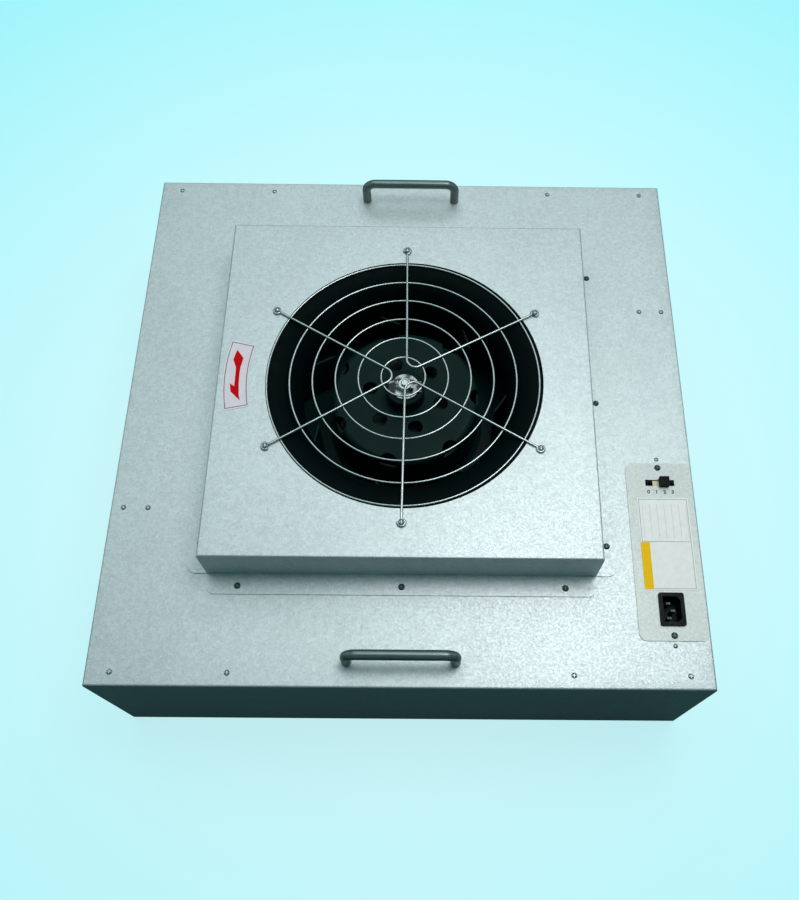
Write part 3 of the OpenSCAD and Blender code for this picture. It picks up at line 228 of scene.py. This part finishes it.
def rubber(name, color):
    """Matt rubber with a fine tooth."""
    skin = Finish(name, color, roughness=0.8)
    skin.shade(skin.vary(0.004, low=0.8, high=1.2, detail=4))
    return skin.bump(skin.noise(0.0008), depth=0.00004)


def laminations(name, color):
    """Stacked steel sheets 0.5 mm thick, seen as fine lines round the core."""
    core = Finish(name, color, metallic=0.8, roughness=0.5)
    bands = core.node("ShaderNodeTexWave", bands_direction="Z")
    sheets = core.feed(bands, Vector=core.place, Scale=1000 / math.pi).outputs["Fac"]
    core.shade(core.spread(sheets, low=0.6, high=1.1))
    return core.bump(sheets, depth=0.00005)


def windings(name, color):
    """Enamelled wire laid round the coil ends."""
    coil = Finish(name, color, metallic=0.7, roughness=0.3, Coat_Weight=0.6)
    strands = coil.noise(0.0016, detail=2, stretch=(1, 1, 0.2))
    coil.shade(coil.spread(strands, 0.6, 1.15, *USUAL_NOISE))
    return coil.bump(strands, depth=0.0003)


def film(name, color, roughness=0.5, specular=0.15):
    """Printed film with a faint mottling and slight waves where it is stuck down."""
    sheet = Finish(name, color, roughness=roughness, Specular_IOR_Level=specular)
    sheet.shade(sheet.vary(0.006, low=0.95, high=1.02))
    sheet.rough(sheet.vary(0.02, low=roughness * 0.8, high=roughness * 1.2, detail=2))
    return sheet.bump(sheet.noise(0.018, detail=2), depth=0.00005)


def filter_paper(name, color):
    """Glass-fibre paper: matt, with tangled fibres."""
    paper = Finish(name, color, roughness=0.95)
    paper.shade(paper.vary(0.0012, low=0.90, high=1.03, detail=6))
    return paper.bump(paper.noise(0.0006, detail=5), depth=0.00008)


def foam(name, color):
    """Closed-cell seal with small open pores on its skin."""
    seal = Finish(name, color, roughness=0.9)
    pores = seal.seams(0.0014)
    seal.shade(seal.spread(pores, low=0.6, high=1.15, end=0.3))
    return seal.bump(pores, depth=0.00015)


def lock_washer_steel(name, color):
    """Plated washer with broad painted glints and painted shade in its base colour."""
    washer = plain_metal(name, color, 0.3)
    # painted glints and painted shade: bright and dark patches in the base colour
    painted_glints_and_shade = washer.spread(washer.noise(0.009, detail=2), low=0.10, high=1.5, start=0.42, end=0.58)
    return washer.shade(painted_glints_and_shade)


finishes = {
    "galvanised_sheet": galvanised("galvanised_sheet", (0.52, 0.59, 0.60)),
    "plate_sheet": galvanised("plate_sheet", (0.51, 0.57, 0.55), spangle=0.002, relief=0.00001,
                              metallic=0.3),
    "bright_wire": plain_metal("bright_wire", (0.40, 0.44, 0.44), 0.22),
    "bright_steel": plain_metal("bright_steel", (0.40, 0.45, 0.45), 0.32),
    "dark_screw": plain_metal("dark_screw", (0.10, 0.13, 0.13), 0.38),
    "handle_bar": brushed_bar("handle_bar", (0.14, 0.19, 0.18)),
    "black_plastic": moulded("black_plastic", (0.004, 0.008, 0.008), 0.55, specular=0.12, dusty=0.02),
    # near-black base colour: the nozzle's black finish, darkened further as painted shade inside the
    # intake
    "nozzle_black": moulded("nozzle_black", (0.001, 0.004, 0.004), 0.6, grain=0.0012, specular=0.03,
                            dusty=0.005),
    "impeller_black": moulded("impeller_black", (0.003, 0.018, 0.017), 0.34, grain=0.002, specular=0.05,
                              dusty=0.006),
    "boss_black": moulded("boss_black", (0.003, 0.012, 0.012), 0.4, specular=0.05, dusty=0.006),
    # near-black base colour: the motor's dark finish, darkened further as painted shade where it shows
    # through the hub's holes
    "motor_steel": moulded("motor_steel", (0.012, 0.017, 0.017), 0.45, specular=0.15, dusty=0.02),
    "cast_alloy": plain_metal("cast_alloy", (0.45, 0.47, 0.47), 0.55, grain=0.003),
    "shaft_steel": plain_metal("shaft_steel", (0.40, 0.45, 0.45), 0.28, grain=0.0008),
    "core_steel": laminations("core_steel", (0.22, 0.23, 0.24)),
    "winding_copper": windings("winding_copper", (0.42, 0.13, 0.045)),
    "rubber_black": rubber("rubber_black", (0.012, 0.012, 0.012)),
    "cable_sheath": rubber("cable_sheath", (0.03, 0.03, 0.03)),
    "ivory_plastic": moulded("ivory_plastic", (0.60, 0.56, 0.42), 0.45),
    "cream_plastic": moulded("cream_plastic", (0.72, 0.66, 0.46), 0.5),
    "sticker_film": film("sticker_film", (0.78, 0.74, 0.80)),
    "label_film": film("label_film", (0.93, 0.96, 0.93)),
    "capacitor_can": plain_metal("capacitor_can", (0.55, 0.56, 0.56), 0.35),
    "filter_alloy": plain_metal("filter_alloy", (0.58, 0.60, 0.61), 0.4, metallic=0.85),
    "filter_paper": filter_paper("filter_paper", (0.80, 0.82, 0.80)),
    "grille_white": moulded("grille_white", (0.74, 0.77, 0.77), 0.4, grain=0.0009),
    "seal_foam": foam("seal_foam", (0.03, 0.03, 0.03)),
}
arrow_red = film("arrow_red", (0.62, 0.003, 0.006), specular=0.03).material
line_purple = film("line_purple", (0.15, 0.12, 0.16), specular=0.05).material
line_grey = film("line_grey", (0.34, 0.38, 0.37)).material
line_faint = film("line_faint", (0.46, 0.50, 0.49)).material
field_yellow = film("field_yellow", (1.0, 0.60, 0.012), specular=0.03).material
ink_grey = film("ink_grey", (0.02, 0.03, 0.03), specular=0.05).material
own_materials = {
    "inlet_pins": plain_metal("pin_metal", (0.05, 0.065, 0.065), 0.45).material,
    # the motor cover's near-black base colour is painted shade, where it shows through the hub's holes
    "motor_cover": plain_metal("cover_alloy_painted_shade", (0.06, 0.08, 0.08), 0.55, grain=0.003).material,
    "lock_washer": lock_washer_steel("washer_steel", (0.26, 0.29, 0.29)).material,
    "plate_rivets": plain_metal("rivet_steel", (0.22, 0.26, 0.26), 0.35).material,
}


def material_of(node_name):
    """The node's own material, or else the one of its finish slot."""
    return own_materials.get(node_name, finishes[node_slots[node_name]].material)


for node_name, node in frame["nodes"].items():
    for material_slot in node.material_slots:
        material_slot.material = material_of(node_name)


# ---- Surfaces on grids ----

FOLD_ANGLE = 30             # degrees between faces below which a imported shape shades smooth
SURFACE_ANGLE = 35          # the same for a surface on a grid
MERGE_GAP = 1e-6            # points of a grid nearer than this are one
PACKED_MERGE_GAP = 2e-6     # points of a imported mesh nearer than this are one
SLIVER = 1e-7               # edges shorter than this are dissolved
SQUARE_ON = 0.99999         # part of a face's normal along an axis from which it counts as square to it
PANEL_AREA = 1e-4           # upright faces larger than this are panels, in square metres


def shade_curves(mesh, smooth_angle):
    """Shades curved faces smooth below smooth_angle, and keeps flat faces flat.

    A face counts as flat if it is level, or if it is upright, square to an axis and a panel.
    """
    normal = np.empty(len(mesh.polygons) * 3, dtype=np.float32)
    area = np.empty(len(mesh.polygons), dtype=np.float32)
    mesh.polygons.foreach_get("normal", normal)
    mesh.polygons.foreach_get("area", area)
    along = np.abs(normal.reshape(-1, 3))
    flat = (along[:, 2] > SQUARE_ON) | ((along.max(axis=1) > SQUARE_ON) & (area > PANEL_AREA))
    mesh.polygons.foreach_set("use_smooth", ~flat)
    mesh.set_sharp_from_angle(angle=math.radians(smooth_angle))


def grid_faces(rows, columns, first):
    """Quads between neighbouring points of a rows by columns grid whose points start at index first."""
    corner = first + np.arange(rows - 1)[:, None] * columns + np.arange(columns - 1)[None, :]
    quads = np.stack([corner, corner + 1, corner + columns + 1, corner + columns], axis=-1)
    return quads.reshape(-1, 4)


def surface(name, grids, material):
    """One mesh from several grids, with doubled seams and poles merged and faces turned outwards."""
    firsts = np.cumsum([0] + [grid.shape[0] * grid.shape[1] for grid in grids[:-1]])
    points = np.concatenate([grid.reshape(-1, 3) for grid in grids])
    faces = np.concatenate([grid_faces(*grid.shape[:2], first) for grid, first in zip(grids, firsts)])
    mesh = bpy.data.meshes.new(name)
    mesh.from_pydata(points.tolist(), [], faces.tolist())
    mesh.materials.append(material)
    piece = bpy.data.objects.new(name, mesh)
    bpy.context.scene.collection.objects.link(piece)
    work = bmesh.new()
    work.from_mesh(mesh)
    bmesh.ops.remove_doubles(work, verts=work.verts, dist=MERGE_GAP)
    bmesh.ops.dissolve_degenerate(work, edges=work.edges, dist=SLIVER)
    bmesh.ops.recalc_face_normals(work, faces=work.faces)
    work.to_mesh(mesh)
    work.free()
    shade_curves(mesh, SURFACE_ANGLE)
    return piece


def place_piece(piece, body, slot, *nodes):
    """Rides a piece on its body and hides the nodes that it stands for. The slot is not used."""
    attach(piece, body)
    if nodes:
        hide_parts(*nodes)
    return piece


def circle_points(count):
    """Unit circle as count + 1 points, the last on the first."""
    angle = np.linspace(0, 2 * np.pi, count + 1)
    return np.stack([np.cos(angle), np.sin(angle)], axis=-1)


def tube(path, radius, reference, sides=14):
    """Grid of a round bar of the given radius carried along path, closed at both ends by a pole.

    Each ring lies across the path's tangent, and its first axis is the part of reference that is
    square to that tangent.
    """
    tangent = np.gradient(path, axis=0)
    tangent /= np.linalg.norm(tangent, axis=1, keepdims=True)
    across = reference - (tangent @ reference)[:, None] * tangent
    across /= np.linalg.norm(across, axis=1, keepdims=True)
    beside = np.cross(tangent, across)
    ring = circle_points(sides)
    spoke = ring[None, :, 0, None] * across[:, None] + ring[None, :, 1, None] * beside[:, None]
    body = path[:, None] + radius * spoke
    start = np.broadcast_to(path[0], body[:1].shape)
    end = np.broadcast_to(path[-1], body[:1].shape)
    return np.concatenate([start, body, end])


def hoop(centre, radius, wire, steps=160, sides=12):
    """Grid of a ring: a circle of radius wire / 2 carried round a circle of the given radius."""
    turn = circle_points(steps)
    section = circle_points(sides) * wire / 2
    reach = radius + section[None, :, 0]
    return np.stack([
        centre[0] + turn[:, 0, None] * reach,
        centre[1] + turn[:, 1, None] * reach,
        centre[2] + np.broadcast_to(section[None, :, 1], (steps + 1, sides + 1)),
    ], axis=-1)


def turned(profile, centre, steps=192):
    """Grid of a profile of (radius, height) points turned round the vertical axis through centre."""
    turn = circle_points(steps)
    return np.stack([
        centre[0] + turn[:, 0, None] * profile[None, :, 0],
        centre[1] + turn[:, 1, None] * profile[None, :, 0],
        np.broadcast_to(profile[None, :, 1], (steps + 1, len(profile))),
    ], axis=-1)


def arc(centre, radius, start, end, count):
    """Points of a flat arc, angles in degrees; radius may be one number or one along each axis."""
    angle = np.radians(np.linspace(start, end, count))
    return np.asarray(centre) + np.asarray(radius) * np.stack([np.cos(angle), np.sin(angle)], axis=-1)


# ---- Folded sheet, screws and small parts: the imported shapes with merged, smoothed surfaces ----

def smoothed(node):
    """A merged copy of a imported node, with its curves shaded smooth, that stands for it."""
    mesh = frame["nodes"][node].data.copy()
    piece = bpy.data.objects.new(node + "_finish", mesh)
    bpy.context.scene.collection.objects.link(piece)
    work = bmesh.new()
    work.from_mesh(mesh)
    bmesh.ops.remove_doubles(work, verts=work.verts, dist=PACKED_MERGE_GAP)
    work.to_mesh(mesh)
    work.free()
    if "custom_normal" in mesh.attributes:
        mesh.attributes.remove(mesh.attributes["custom_normal"])
    shade_curves(mesh, FOLD_ANGLE)
    mesh.materials.clear()
    mesh.materials.append(material_of(node))
    return place_piece(piece, body_of_node[node], node_slots[node], node)


for node_name in (
    "housing_shell", "intake_collar", "impeller", "hub_boss", "lock_washer", "shaft", "shaft_nut",
    "switch_knob", "power_inlet", "guard_screws", "collar_screws", "panel_screws", "plate_screws",
    "plate_rivets", "control_plate",
):
    smoothed(node_name)


# ---- Handles ----

def handle(node, name):
    """Bent bar: two upright legs, two quarter bends and a straight grip, in one upright plane."""
    low, high = (np.array(corner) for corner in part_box(node))
    radius = (high[1] - low[1]) / 2
    bend = 0.011
    leg_steps, bend_steps, grip_steps, sides = 6, 24, 12, 28
    half = (high[0] - low[0]) / 2 - radius
    grip_z = high[2] - radius
    right_leg = np.array([[half, z] for z in np.linspace(low[2], grip_z - bend, leg_steps)])
    right_bend = arc((half - bend, grip_z - bend), bend, 0, 90, bend_steps)[1:]
    grip = np.array([[x, grip_z] for x in np.linspace(half - bend, 0, grip_steps)])[1:]
    right = np.concatenate([right_leg, right_bend, grip])
    flat = np.concatenate([right, right[-2::-1] * (-1, 1)])
    centre = (low + high) / 2
    path = np.stack([centre[0] + flat[:, 0], np.full(len(flat), centre[1]), flat[:, 1]], axis=-1)
    bar = tube(path, radius, np.array([0.0, 1.0, 0.0]), sides)
    return place_piece(surface(name, [bar], finishes["handle_bar"].material), HOUSING, "handle_bar", node)


handle("handle_front", "front_handle_bar")
handle("handle_back", "back_handle_bar")


# ---- Inlet nozzle ----

def inlet_nozzle():
    """Turned bell-mouth of even wall: flat flange, quarter ellipse down to the throat, short lip."""
    wall = 0.0015
    mouth_r = 0.1372
    throat_r = 0.104
    curve_depth = 0.038
    curve_steps = 40
    top = nozzle_high[2]
    flange_r = (nozzle_high - nozzle_low)[0] / 2
    curve_z = collar_z - curve_depth
    lip_z = nozzle_low[2]
    inner = arc((mouth_r, curve_z), (mouth_r - throat_r, top - curve_z), 90, 180, curve_steps)
    outer = arc((mouth_r, curve_z), (mouth_r - throat_r - wall, top - curve_z - wall), 180, 90,
                curve_steps)
    profile = np.concatenate([
        [[flange_r, top]], inner, [[throat_r, lip_z], [throat_r + wall, lip_z]], outer,
        [[flange_r, top - wall], [flange_r, top]],
    ])
    piece = surface("inlet_bell", [turned(profile, fan_axis)], finishes["nozzle_black"].material)
    return place_piece(piece, HOUSING, "nozzle_black", "inlet_nozzle")


inlet_nozzle()


# ---- Wire guard ----

ring_wire = 0.0020
spoke_wire = 0.0025
ring_radii = np.linspace(0.0217, 0.1346, 6)
ring_shift = 0.0013         # the rings' centre stands this far left of the fan axis
weld_depth = 0.00035        # a ring and a spoke sink into each other by this
hook_r = 0.1515             # from the fan axis to the middle of a hook's eye
eye_r = 0.00335
eye_turn = 285              # degrees of the eye's circle that the wire runs round
half_spread = 30            # degrees between a spoke and the middle of its pair
guard_rise = 0.0042         # the guard's middle stands this much above its hooks
corner_gaps = (0.0045, 0.0045, 0.0015)      # from the fan axis to each pair's corner
corner_bend = 0.0085


def spoke_height(radius):
    """Height of a spoke's centreline, falling evenly from the fan axis to its hook."""
    return collar_z + spoke_wire / 2 + guard_rise * (1 - radius / (hook_r - eye_r))


def spoke_path(middle, corner_gap):
    """Centreline of one wire bent into two spokes, with a hooked eye at each end.

    In the flat frame whose X runs out along the pair's middle, one half is half the corner's arc, a
    straight leg and the eye's arc. The other half is its mirror image.
    """
    corner_steps, leg_steps, eye_steps = 14, 40, 30
    outwards = np.array([math.cos(math.radians(half_spread)), math.sin(math.radians(half_spread))])
    leg_end = (hook_r - eye_r) * outwards
    lean = math.degrees(math.atan2(leg_end[1], leg_end[0] - corner_gap))
    bend_x = corner_gap + corner_bend / math.sin(math.radians(lean))
    corner = arc((bend_x, 0), corner_bend, 180, 90 + lean, corner_steps)
    leg = np.linspace(corner[-1], leg_end, leg_steps)[1:]
    eye_start = 180 + half_spread
    eye = arc(hook_r * outwards, eye_r, eye_start, eye_start + eye_turn, eye_steps)[1:]
    half = np.concatenate([corner, leg, eye])
    flat = np.concatenate([half[::-1] * (1, -1), half[1:]])
    reach = np.minimum(np.linalg.norm(flat, axis=1), hook_r - eye_r)
    angle = math.radians(middle)
    x = flat[:, 0] * math.cos(angle) - flat[:, 1] * math.sin(angle)
    y = flat[:, 0] * math.sin(angle) + flat[:, 1] * math.cos(angle)
    return np.stack([fan_axis[0] + x, fan_axis[1] + y, spoke_height(reach)], axis=-1)


def guard_ring(radius):
    """One ring, welded to the underside of the spokes."""
    ring_z = spoke_height(radius) - (spoke_wire + ring_wire) / 2 + weld_depth
    return hoop((fan_axis[0] - ring_shift, fan_axis[1], ring_z), radius, ring_wire)


def guard_spokes(index, corner_gap):
    """One bent wire of the three, 120 degrees apart."""
    first_middle, pitch = 60, 120
    up = np.array([0.0, 0.0, 1.0])
    return tube(spoke_path(first_middle + pitch * index, corner_gap), spoke_wire / 2, up)


def wire_guard():
    """Six rings under three bent double spokes, as one welded piece."""
    grids = [guard_ring(radius) for radius in ring_radii]
    grids += [guard_spokes(index, corner_gap) for index, corner_gap in enumerate(corner_gaps)]
    piece = surface("wire_guard", grids, finishes["bright_wire"].material)
    return place_piece(piece, HOUSING, "bright_wire", "finger_guard")


wire_guard()


# ---- Flat printed marks ----

PRINT = 0.00006             # thickness of a printed line
FIELD_PRINT = 0.00008       # thickness of a printed field, which covers the lines


def flat_shape(name, outline, height, material, thickness=PRINT):
    """A thin plate over a flat outline of (x, y) points, its underside at height."""
    mesh = bpy.data.meshes.new(name)
    count = len(outline)
    low = [(x, y, height) for x, y in outline]
    high = [(x, y, height + thickness) for x, y in outline]
    sides = [(i, (i + 1) % count, count + (i + 1) % count, count + i) for i in range(count)]
    mesh.from_pydata(low + high, [], [tuple(range(count))[::-1], tuple(range(count, 2 * count)), *sides])
    work = bmesh.new()
    work.from_mesh(mesh)
    bmesh.ops.triangulate(work, faces=work.faces)
    bmesh.ops.recalc_face_normals(work, faces=work.faces)
    work.to_mesh(mesh)
    work.free()
    mesh.materials.append(material)
    piece = bpy.data.objects.new(name, mesh)
    bpy.context.scene.collection.objects.link(piece)
    return piece


def box_outline(x0, y0, x1, y1):
    """Corners of an upright rectangle."""
    return [(x0, y0), (x1, y0), (x1, y1), (x0, y1)]


def polar(radius, angle):
    """Point at radius and angle in degrees round the fan axis."""
    turn = math.radians(angle)
    return (fan_axis[0] + radius * math.cos(turn), fan_axis[1] + radius * math.sin(turn))


def ring_band(inner, outer, start, end, steps=24):
    """Outline of a band between two radii, from one angle to another, round the fan axis."""
    spans = np.linspace(start, end, steps)
    return [polar(inner, angle) for angle in spans] + [polar(outer, angle) for angle in spans[::-1]]


def rotation_sticker():
    """Border line and two-part arrow on the curved sticker left of the intake.

    Each part of the arrow is a polygon of (radius, angle from the sticker's side of the fan axis).
    """
    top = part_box("direction_sticker")[1][2]
    sticker_side = 180
    inner, outer, line = 0.1552, 0.1775, 0.0007
    start, end, line_turn = 167.2, 191.8, 0.24
    borders = {
        "sticker_line_inner": ring_band(inner, inner + line, start, end),
        "sticker_line_outer": ring_band(outer - line, outer, start, end),
        "sticker_line_far": ring_band(inner, outer, start, start + line_turn, steps=2),
        "sticker_line_near": ring_band(inner, outer, end - line_turn, end, steps=2),
    }
    for name, outline in borders.items():
        place_piece(flat_shape(name, outline, top, line_purple), HOUSING, "sticker_film")
    head = [(0.1703, -10.2), (0.1620, -7.3), (0.1629, -3.4), (0.1675, -3.4), (0.1717, -6.3)]
    tail = [(0.1675, -3.4), (0.1629, -3.4), (0.1630, -0.9), (0.1629, 3.1), (0.1629, 7.5), (0.1621, 9.5),
            (0.1647, 8.4), (0.1709, 5.7), (0.1716, 2.7), (0.1673, 3.8), (0.1670, -0.9)]
    for name, shape in (("arrow_head", head), ("arrow_tail", tail)):
        outline = [polar(radius, sticker_side + angle) for radius, angle in shape]
        place_piece(flat_shape(name, outline, top, arrow_red), HOUSING, "sticker_film")


def label_print():
    """Plain rules, a divider, faint blank lines and a yellow field on the blank label."""
    (x0, y0, _), (x1, y1, top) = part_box("blank_label")
    line = 0.0005
    edge = 0.0014
    divider = y0 + 0.0480
    rects = {
        "label_rule_left": box_outline(x0 + edge, y0 + edge, x0 + edge + line, y1 - edge),
        "label_rule_right": box_outline(x1 - edge - line, y0 + edge, x1 - edge, y1 - edge),
        "label_rule_near": box_outline(x0 + edge, y0 + edge, x1 - edge, y0 + edge + line),
        "label_rule_far": box_outline(x0 + edge, y1 - edge - line, x1 - edge, y1 - edge),
        "label_rule_middle": box_outline(x0 + edge, divider, x1 - edge, divider + line),
    }
    for name, outline in rects.items():
        place_piece(flat_shape(name, outline, top, line_grey), HOUSING, "label_film")

    blank_lines = 7
    first_gap, both_gaps, near_gap, far_gap = 0.0045, 0.0075, 0.004, 0.007
    pitch = (x1 - x0 - both_gaps) / (blank_lines - 1)
    for index in range(blank_lines):
        x = x0 + first_gap + index * pitch
        outline = box_outline(x, divider + near_gap, x + line / 2, y1 - far_gap)
        rule = flat_shape(f"label_blank_line_{index}", outline, top, line_faint)
        place_piece(rule, HOUSING, "label_film")

    field_width, field_margin, field_gap = 0.0088, 0.0008, 0.0004
    outline = box_outline(x0, y0 + field_margin, x0 + field_width, divider - field_gap)
    field = flat_shape("label_yellow_field", outline, top, field_yellow, FIELD_PRINT)
    place_piece(field, HOUSING, "label_film")


def switch_numbers():
    """Plain numbers 0 to 3 beside the switch's positions."""
    positions = 4
    pitch = 0.0080
    height = 0.0052
    boldness = 0.00018
    half_print = 0.00003
    below_slot = 0.0112
    above_plate = 0.00004
    slot_low, slot_high = (np.array(corner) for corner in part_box("switch_track"))
    slot = (slot_high + slot_low) / 2
    for index in range(positions):
        curve = bpy.data.curves.new(f"position_{index}", "FONT")
        curve.body = str(index)
        curve.size = height
        curve.offset = boldness
        curve.align_x = "CENTER"
        curve.extrude = half_print
        text = bpy.data.objects.new(curve.name, curve)
        bpy.context.scene.collection.objects.link(text)
        bpy.context.view_layer.update()
        mesh = bpy.data.meshes.new_from_object(text.evaluated_get(bpy.context.evaluated_depsgraph_get()))
        bpy.data.objects.remove(text)
        points = np.empty(len(mesh.vertices) * 3)
        mesh.vertices.foreach_get("co", points)
        points = points.reshape(-1, 3)
        points += (slot[0] + (index - (positions - 1) / 2) * pitch, slot[1] - below_slot,
                   plate_z + above_plate)
        mesh.vertices.foreach_set("co", points.ravel())
        mesh.materials.clear()
        mesh.materials.append(ink_grey)
        piece = bpy.data.objects.new(f"switch_number_{index}", mesh)
        bpy.context.scene.collection.objects.link(piece)
        place_piece(piece, HOUSING, "plate_sheet")


rotation_sticker()
label_print()
switch_numbers()


# ---- Stage, light and camera ----

NEAR_TEAL = (0.64, 0.95, 0.98)      # the floor round the object
FAR_TEAL = (0.36, 0.90, 0.95)       # the floor far from it, and the backdrop
BOUNCE_TEAL = (0.03, 0.07, 0.07)    # the light that the floor throws back on the object
BACKDROP = 0.86             # strength of floor and backdrop as the camera sees them
FLOOR_SHEEN = 0.02          # strength of the floor in metal and glass
WORLD_SHEEN = 0.25          # strength of the backdrop in metal and glass
WORLD_LIGHT = 0.12          # strength of the backdrop as light on the object
SHADOW_DEPTH = 0.22         # share of the floor's colour that takes light and shadow


def background_strength(tree, seen, mirrored, cast):
    """Strength by the kind of ray: seen by the camera, mirrored in metal and glass, cast as light."""
    rays = tree.nodes.new("ShaderNodeLightPath").outputs
    strength = cast
    for kind, share in (("Is Camera Ray", seen), ("Is Glossy Ray", mirrored),
                        ("Is Transmission Ray", mirrored)):
        strength = arithmetic(tree, "MAXIMUM", arithmetic(tree, "MULTIPLY", rays[kind], share), strength)
    return strength


def floor():
    """Pale floor far past the object's edges.

    Its colour deepens away from the object. It glows for the camera, and dimly in metal and glass, so
    that its shadows stay soft.
    """
    reach = 6.0
    near_end, far_start = 0.25, 1.0         # metres from the origin between which the colour deepens
    mesh = bpy.data.meshes.new("floor")
    corners = [(-reach, -reach, 0), (reach, -reach, 0), (reach, reach, 0), (-reach, reach, 0)]
    mesh.from_pydata(corners, [], [(0, 1, 2, 3)])
    piece = bpy.data.objects.new("floor", mesh)
    bpy.context.scene.collection.objects.link(piece)
    pale = Finish("pale_floor", NEAR_TEAL, roughness=0.9, Specular_IOR_Level=0.0)
    away = pale.node("ShaderNodeVectorMath", operation="LENGTH")
    pale.tree.links.new(pale.place, away.inputs[0])
    depth = pale.spread(away.outputs["Value"], low=0, high=1, start=near_end, end=far_start)
    pale.blend_color(depth, FAR_TEAL)
    color = pale.shader.inputs["Base Color"].links[0].from_socket
    glow = background_strength(pale.tree, BACKDROP, FLOOR_SHEEN, 0.0)
    pale.tree.links.new(color, pale.shader.inputs["Emission Color"])
    pale.tree.links.new(glow, pale.shader.inputs["Emission Strength"])
    shadowed = pale.node("ShaderNodeMix", data_type="RGBA", blend_type="MULTIPLY")
    shadowed.inputs["Factor"].default_value = 1
    pale.tree.links.new(color, shadowed.inputs["A"])
    shadowed.inputs["B"].default_value = (SHADOW_DEPTH, SHADOW_DEPTH, SHADOW_DEPTH, 1)
    by_ray = pale.node("ShaderNodeMix", data_type="RGBA")
    camera_ray = pale.node("ShaderNodeLightPath").outputs["Is Camera Ray"]
    pale.tree.links.new(camera_ray, by_ray.inputs["Factor"])
    by_ray.inputs["A"].default_value = (*BOUNCE_TEAL, 1)
    pale.tree.links.new(shadowed.outputs["Result"], by_ray.inputs["B"])
    pale.tree.links.new(by_ray.outputs["Result"], pale.shader.inputs["Base Color"])
    mesh.materials.append(pale.material)


def lamp(name, place, target, size, radiance, color=(1, 1, 1)):
    """Soft lamp of size (width, depth) and even radiance at place, facing target."""
    light = bpy.data.lights.new(name, "AREA")
    light.shape = "RECTANGLE"
    light.size, light.size_y = size
    light.energy = radiance * math.pi * size[0] * size[1]
    light.color = color
    piece = bpy.data.objects.new(name, light)
    bpy.context.scene.collection.objects.link(piece)
    piece.location = place
    piece.rotation_euler = (Vector(target) - Vector(place)).to_track_quat("-Z", "Y").to_euler()


def world():
    """Pale surround: whole for the camera, dimmed in metal and glass, and faint as light."""
    surround = bpy.data.worlds.new("surround")
    surround.use_nodes = True
    tree = surround.node_tree
    background = tree.nodes["Background"]
    background.inputs["Color"].default_value = (*FAR_TEAL, 1)
    strength = background_strength(tree, BACKDROP, WORLD_SHEEN, WORLD_LIGHT)
    tree.links.new(strength, background.inputs["Strength"])
    bpy.context.scene.world = surround


def camera():
    """Camera at the viewing angle.

    It is turned by azimuth round the vertical, tipped down by elevation and rolled about its own axis.
    The focal length and the optical middle are in pixels of the rendered view.
    """
    place = (0.0235, -0.4508, 1.0593)
    elevation, azimuth, roll = (math.radians(angle) for angle in (64.08, 0.95, 1.41))
    view_size = (799, 900)
    focal = 960.2
    optical_middle = (436.0, 422.8)
    forward = Vector((math.sin(azimuth) * math.cos(elevation), math.cos(azimuth) * math.cos(elevation),
                      -math.sin(elevation)))
    level = Vector((math.cos(azimuth), -math.sin(azimuth), 0))
    above = level.cross(forward)
    right = math.cos(roll) * level + math.sin(roll) * above
    up = math.cos(roll) * above - math.sin(roll) * level
    data = bpy.data.cameras.new("camera")
    data.sensor_width = 36
    data.lens = focal * data.sensor_width / max(view_size)
    data.shift_x = (view_size[0] / 2 - optical_middle[0]) / max(view_size)
    data.shift_y = (optical_middle[1] - view_size[1] / 2) / max(view_size)
    piece = bpy.data.objects.new("camera", data)
    bpy.context.scene.collection.objects.link(piece)
    turn = Matrix((right, up, -forward)).transposed().to_4x4()
    piece.matrix_world = Matrix.Translation(place) @ turn
    bpy.context.scene.camera = piece


floor()
lamp("ceiling", place=(0.0, 1.3, 2.4), target=(0.0, 1.3, 0.0), size=(2.8, 3.0), radiance=1.45,
     color=(0.95, 1, 1))
lamp("key", place=(0.38, 0.09, 1.60), target=(0.16, -0.22, 0.2), size=(0.6, 0.6), radiance=6.0,
     color=(1, 0.94, 0.93))
lamp("right_fill", place=(1.7, 0.5, 0.75), target=(0.25, 0.1, 0.1), size=(1.2, 1.0), radiance=0.8)
lamp("left_fill", place=(-1.7, 0.5, 0.75), target=(-0.25, 0.1, 0.1), size=(1.2, 1.0), radiance=0.8)
world()
camera()
bpy.context.scene.view_settings.view_transform = "Standard"
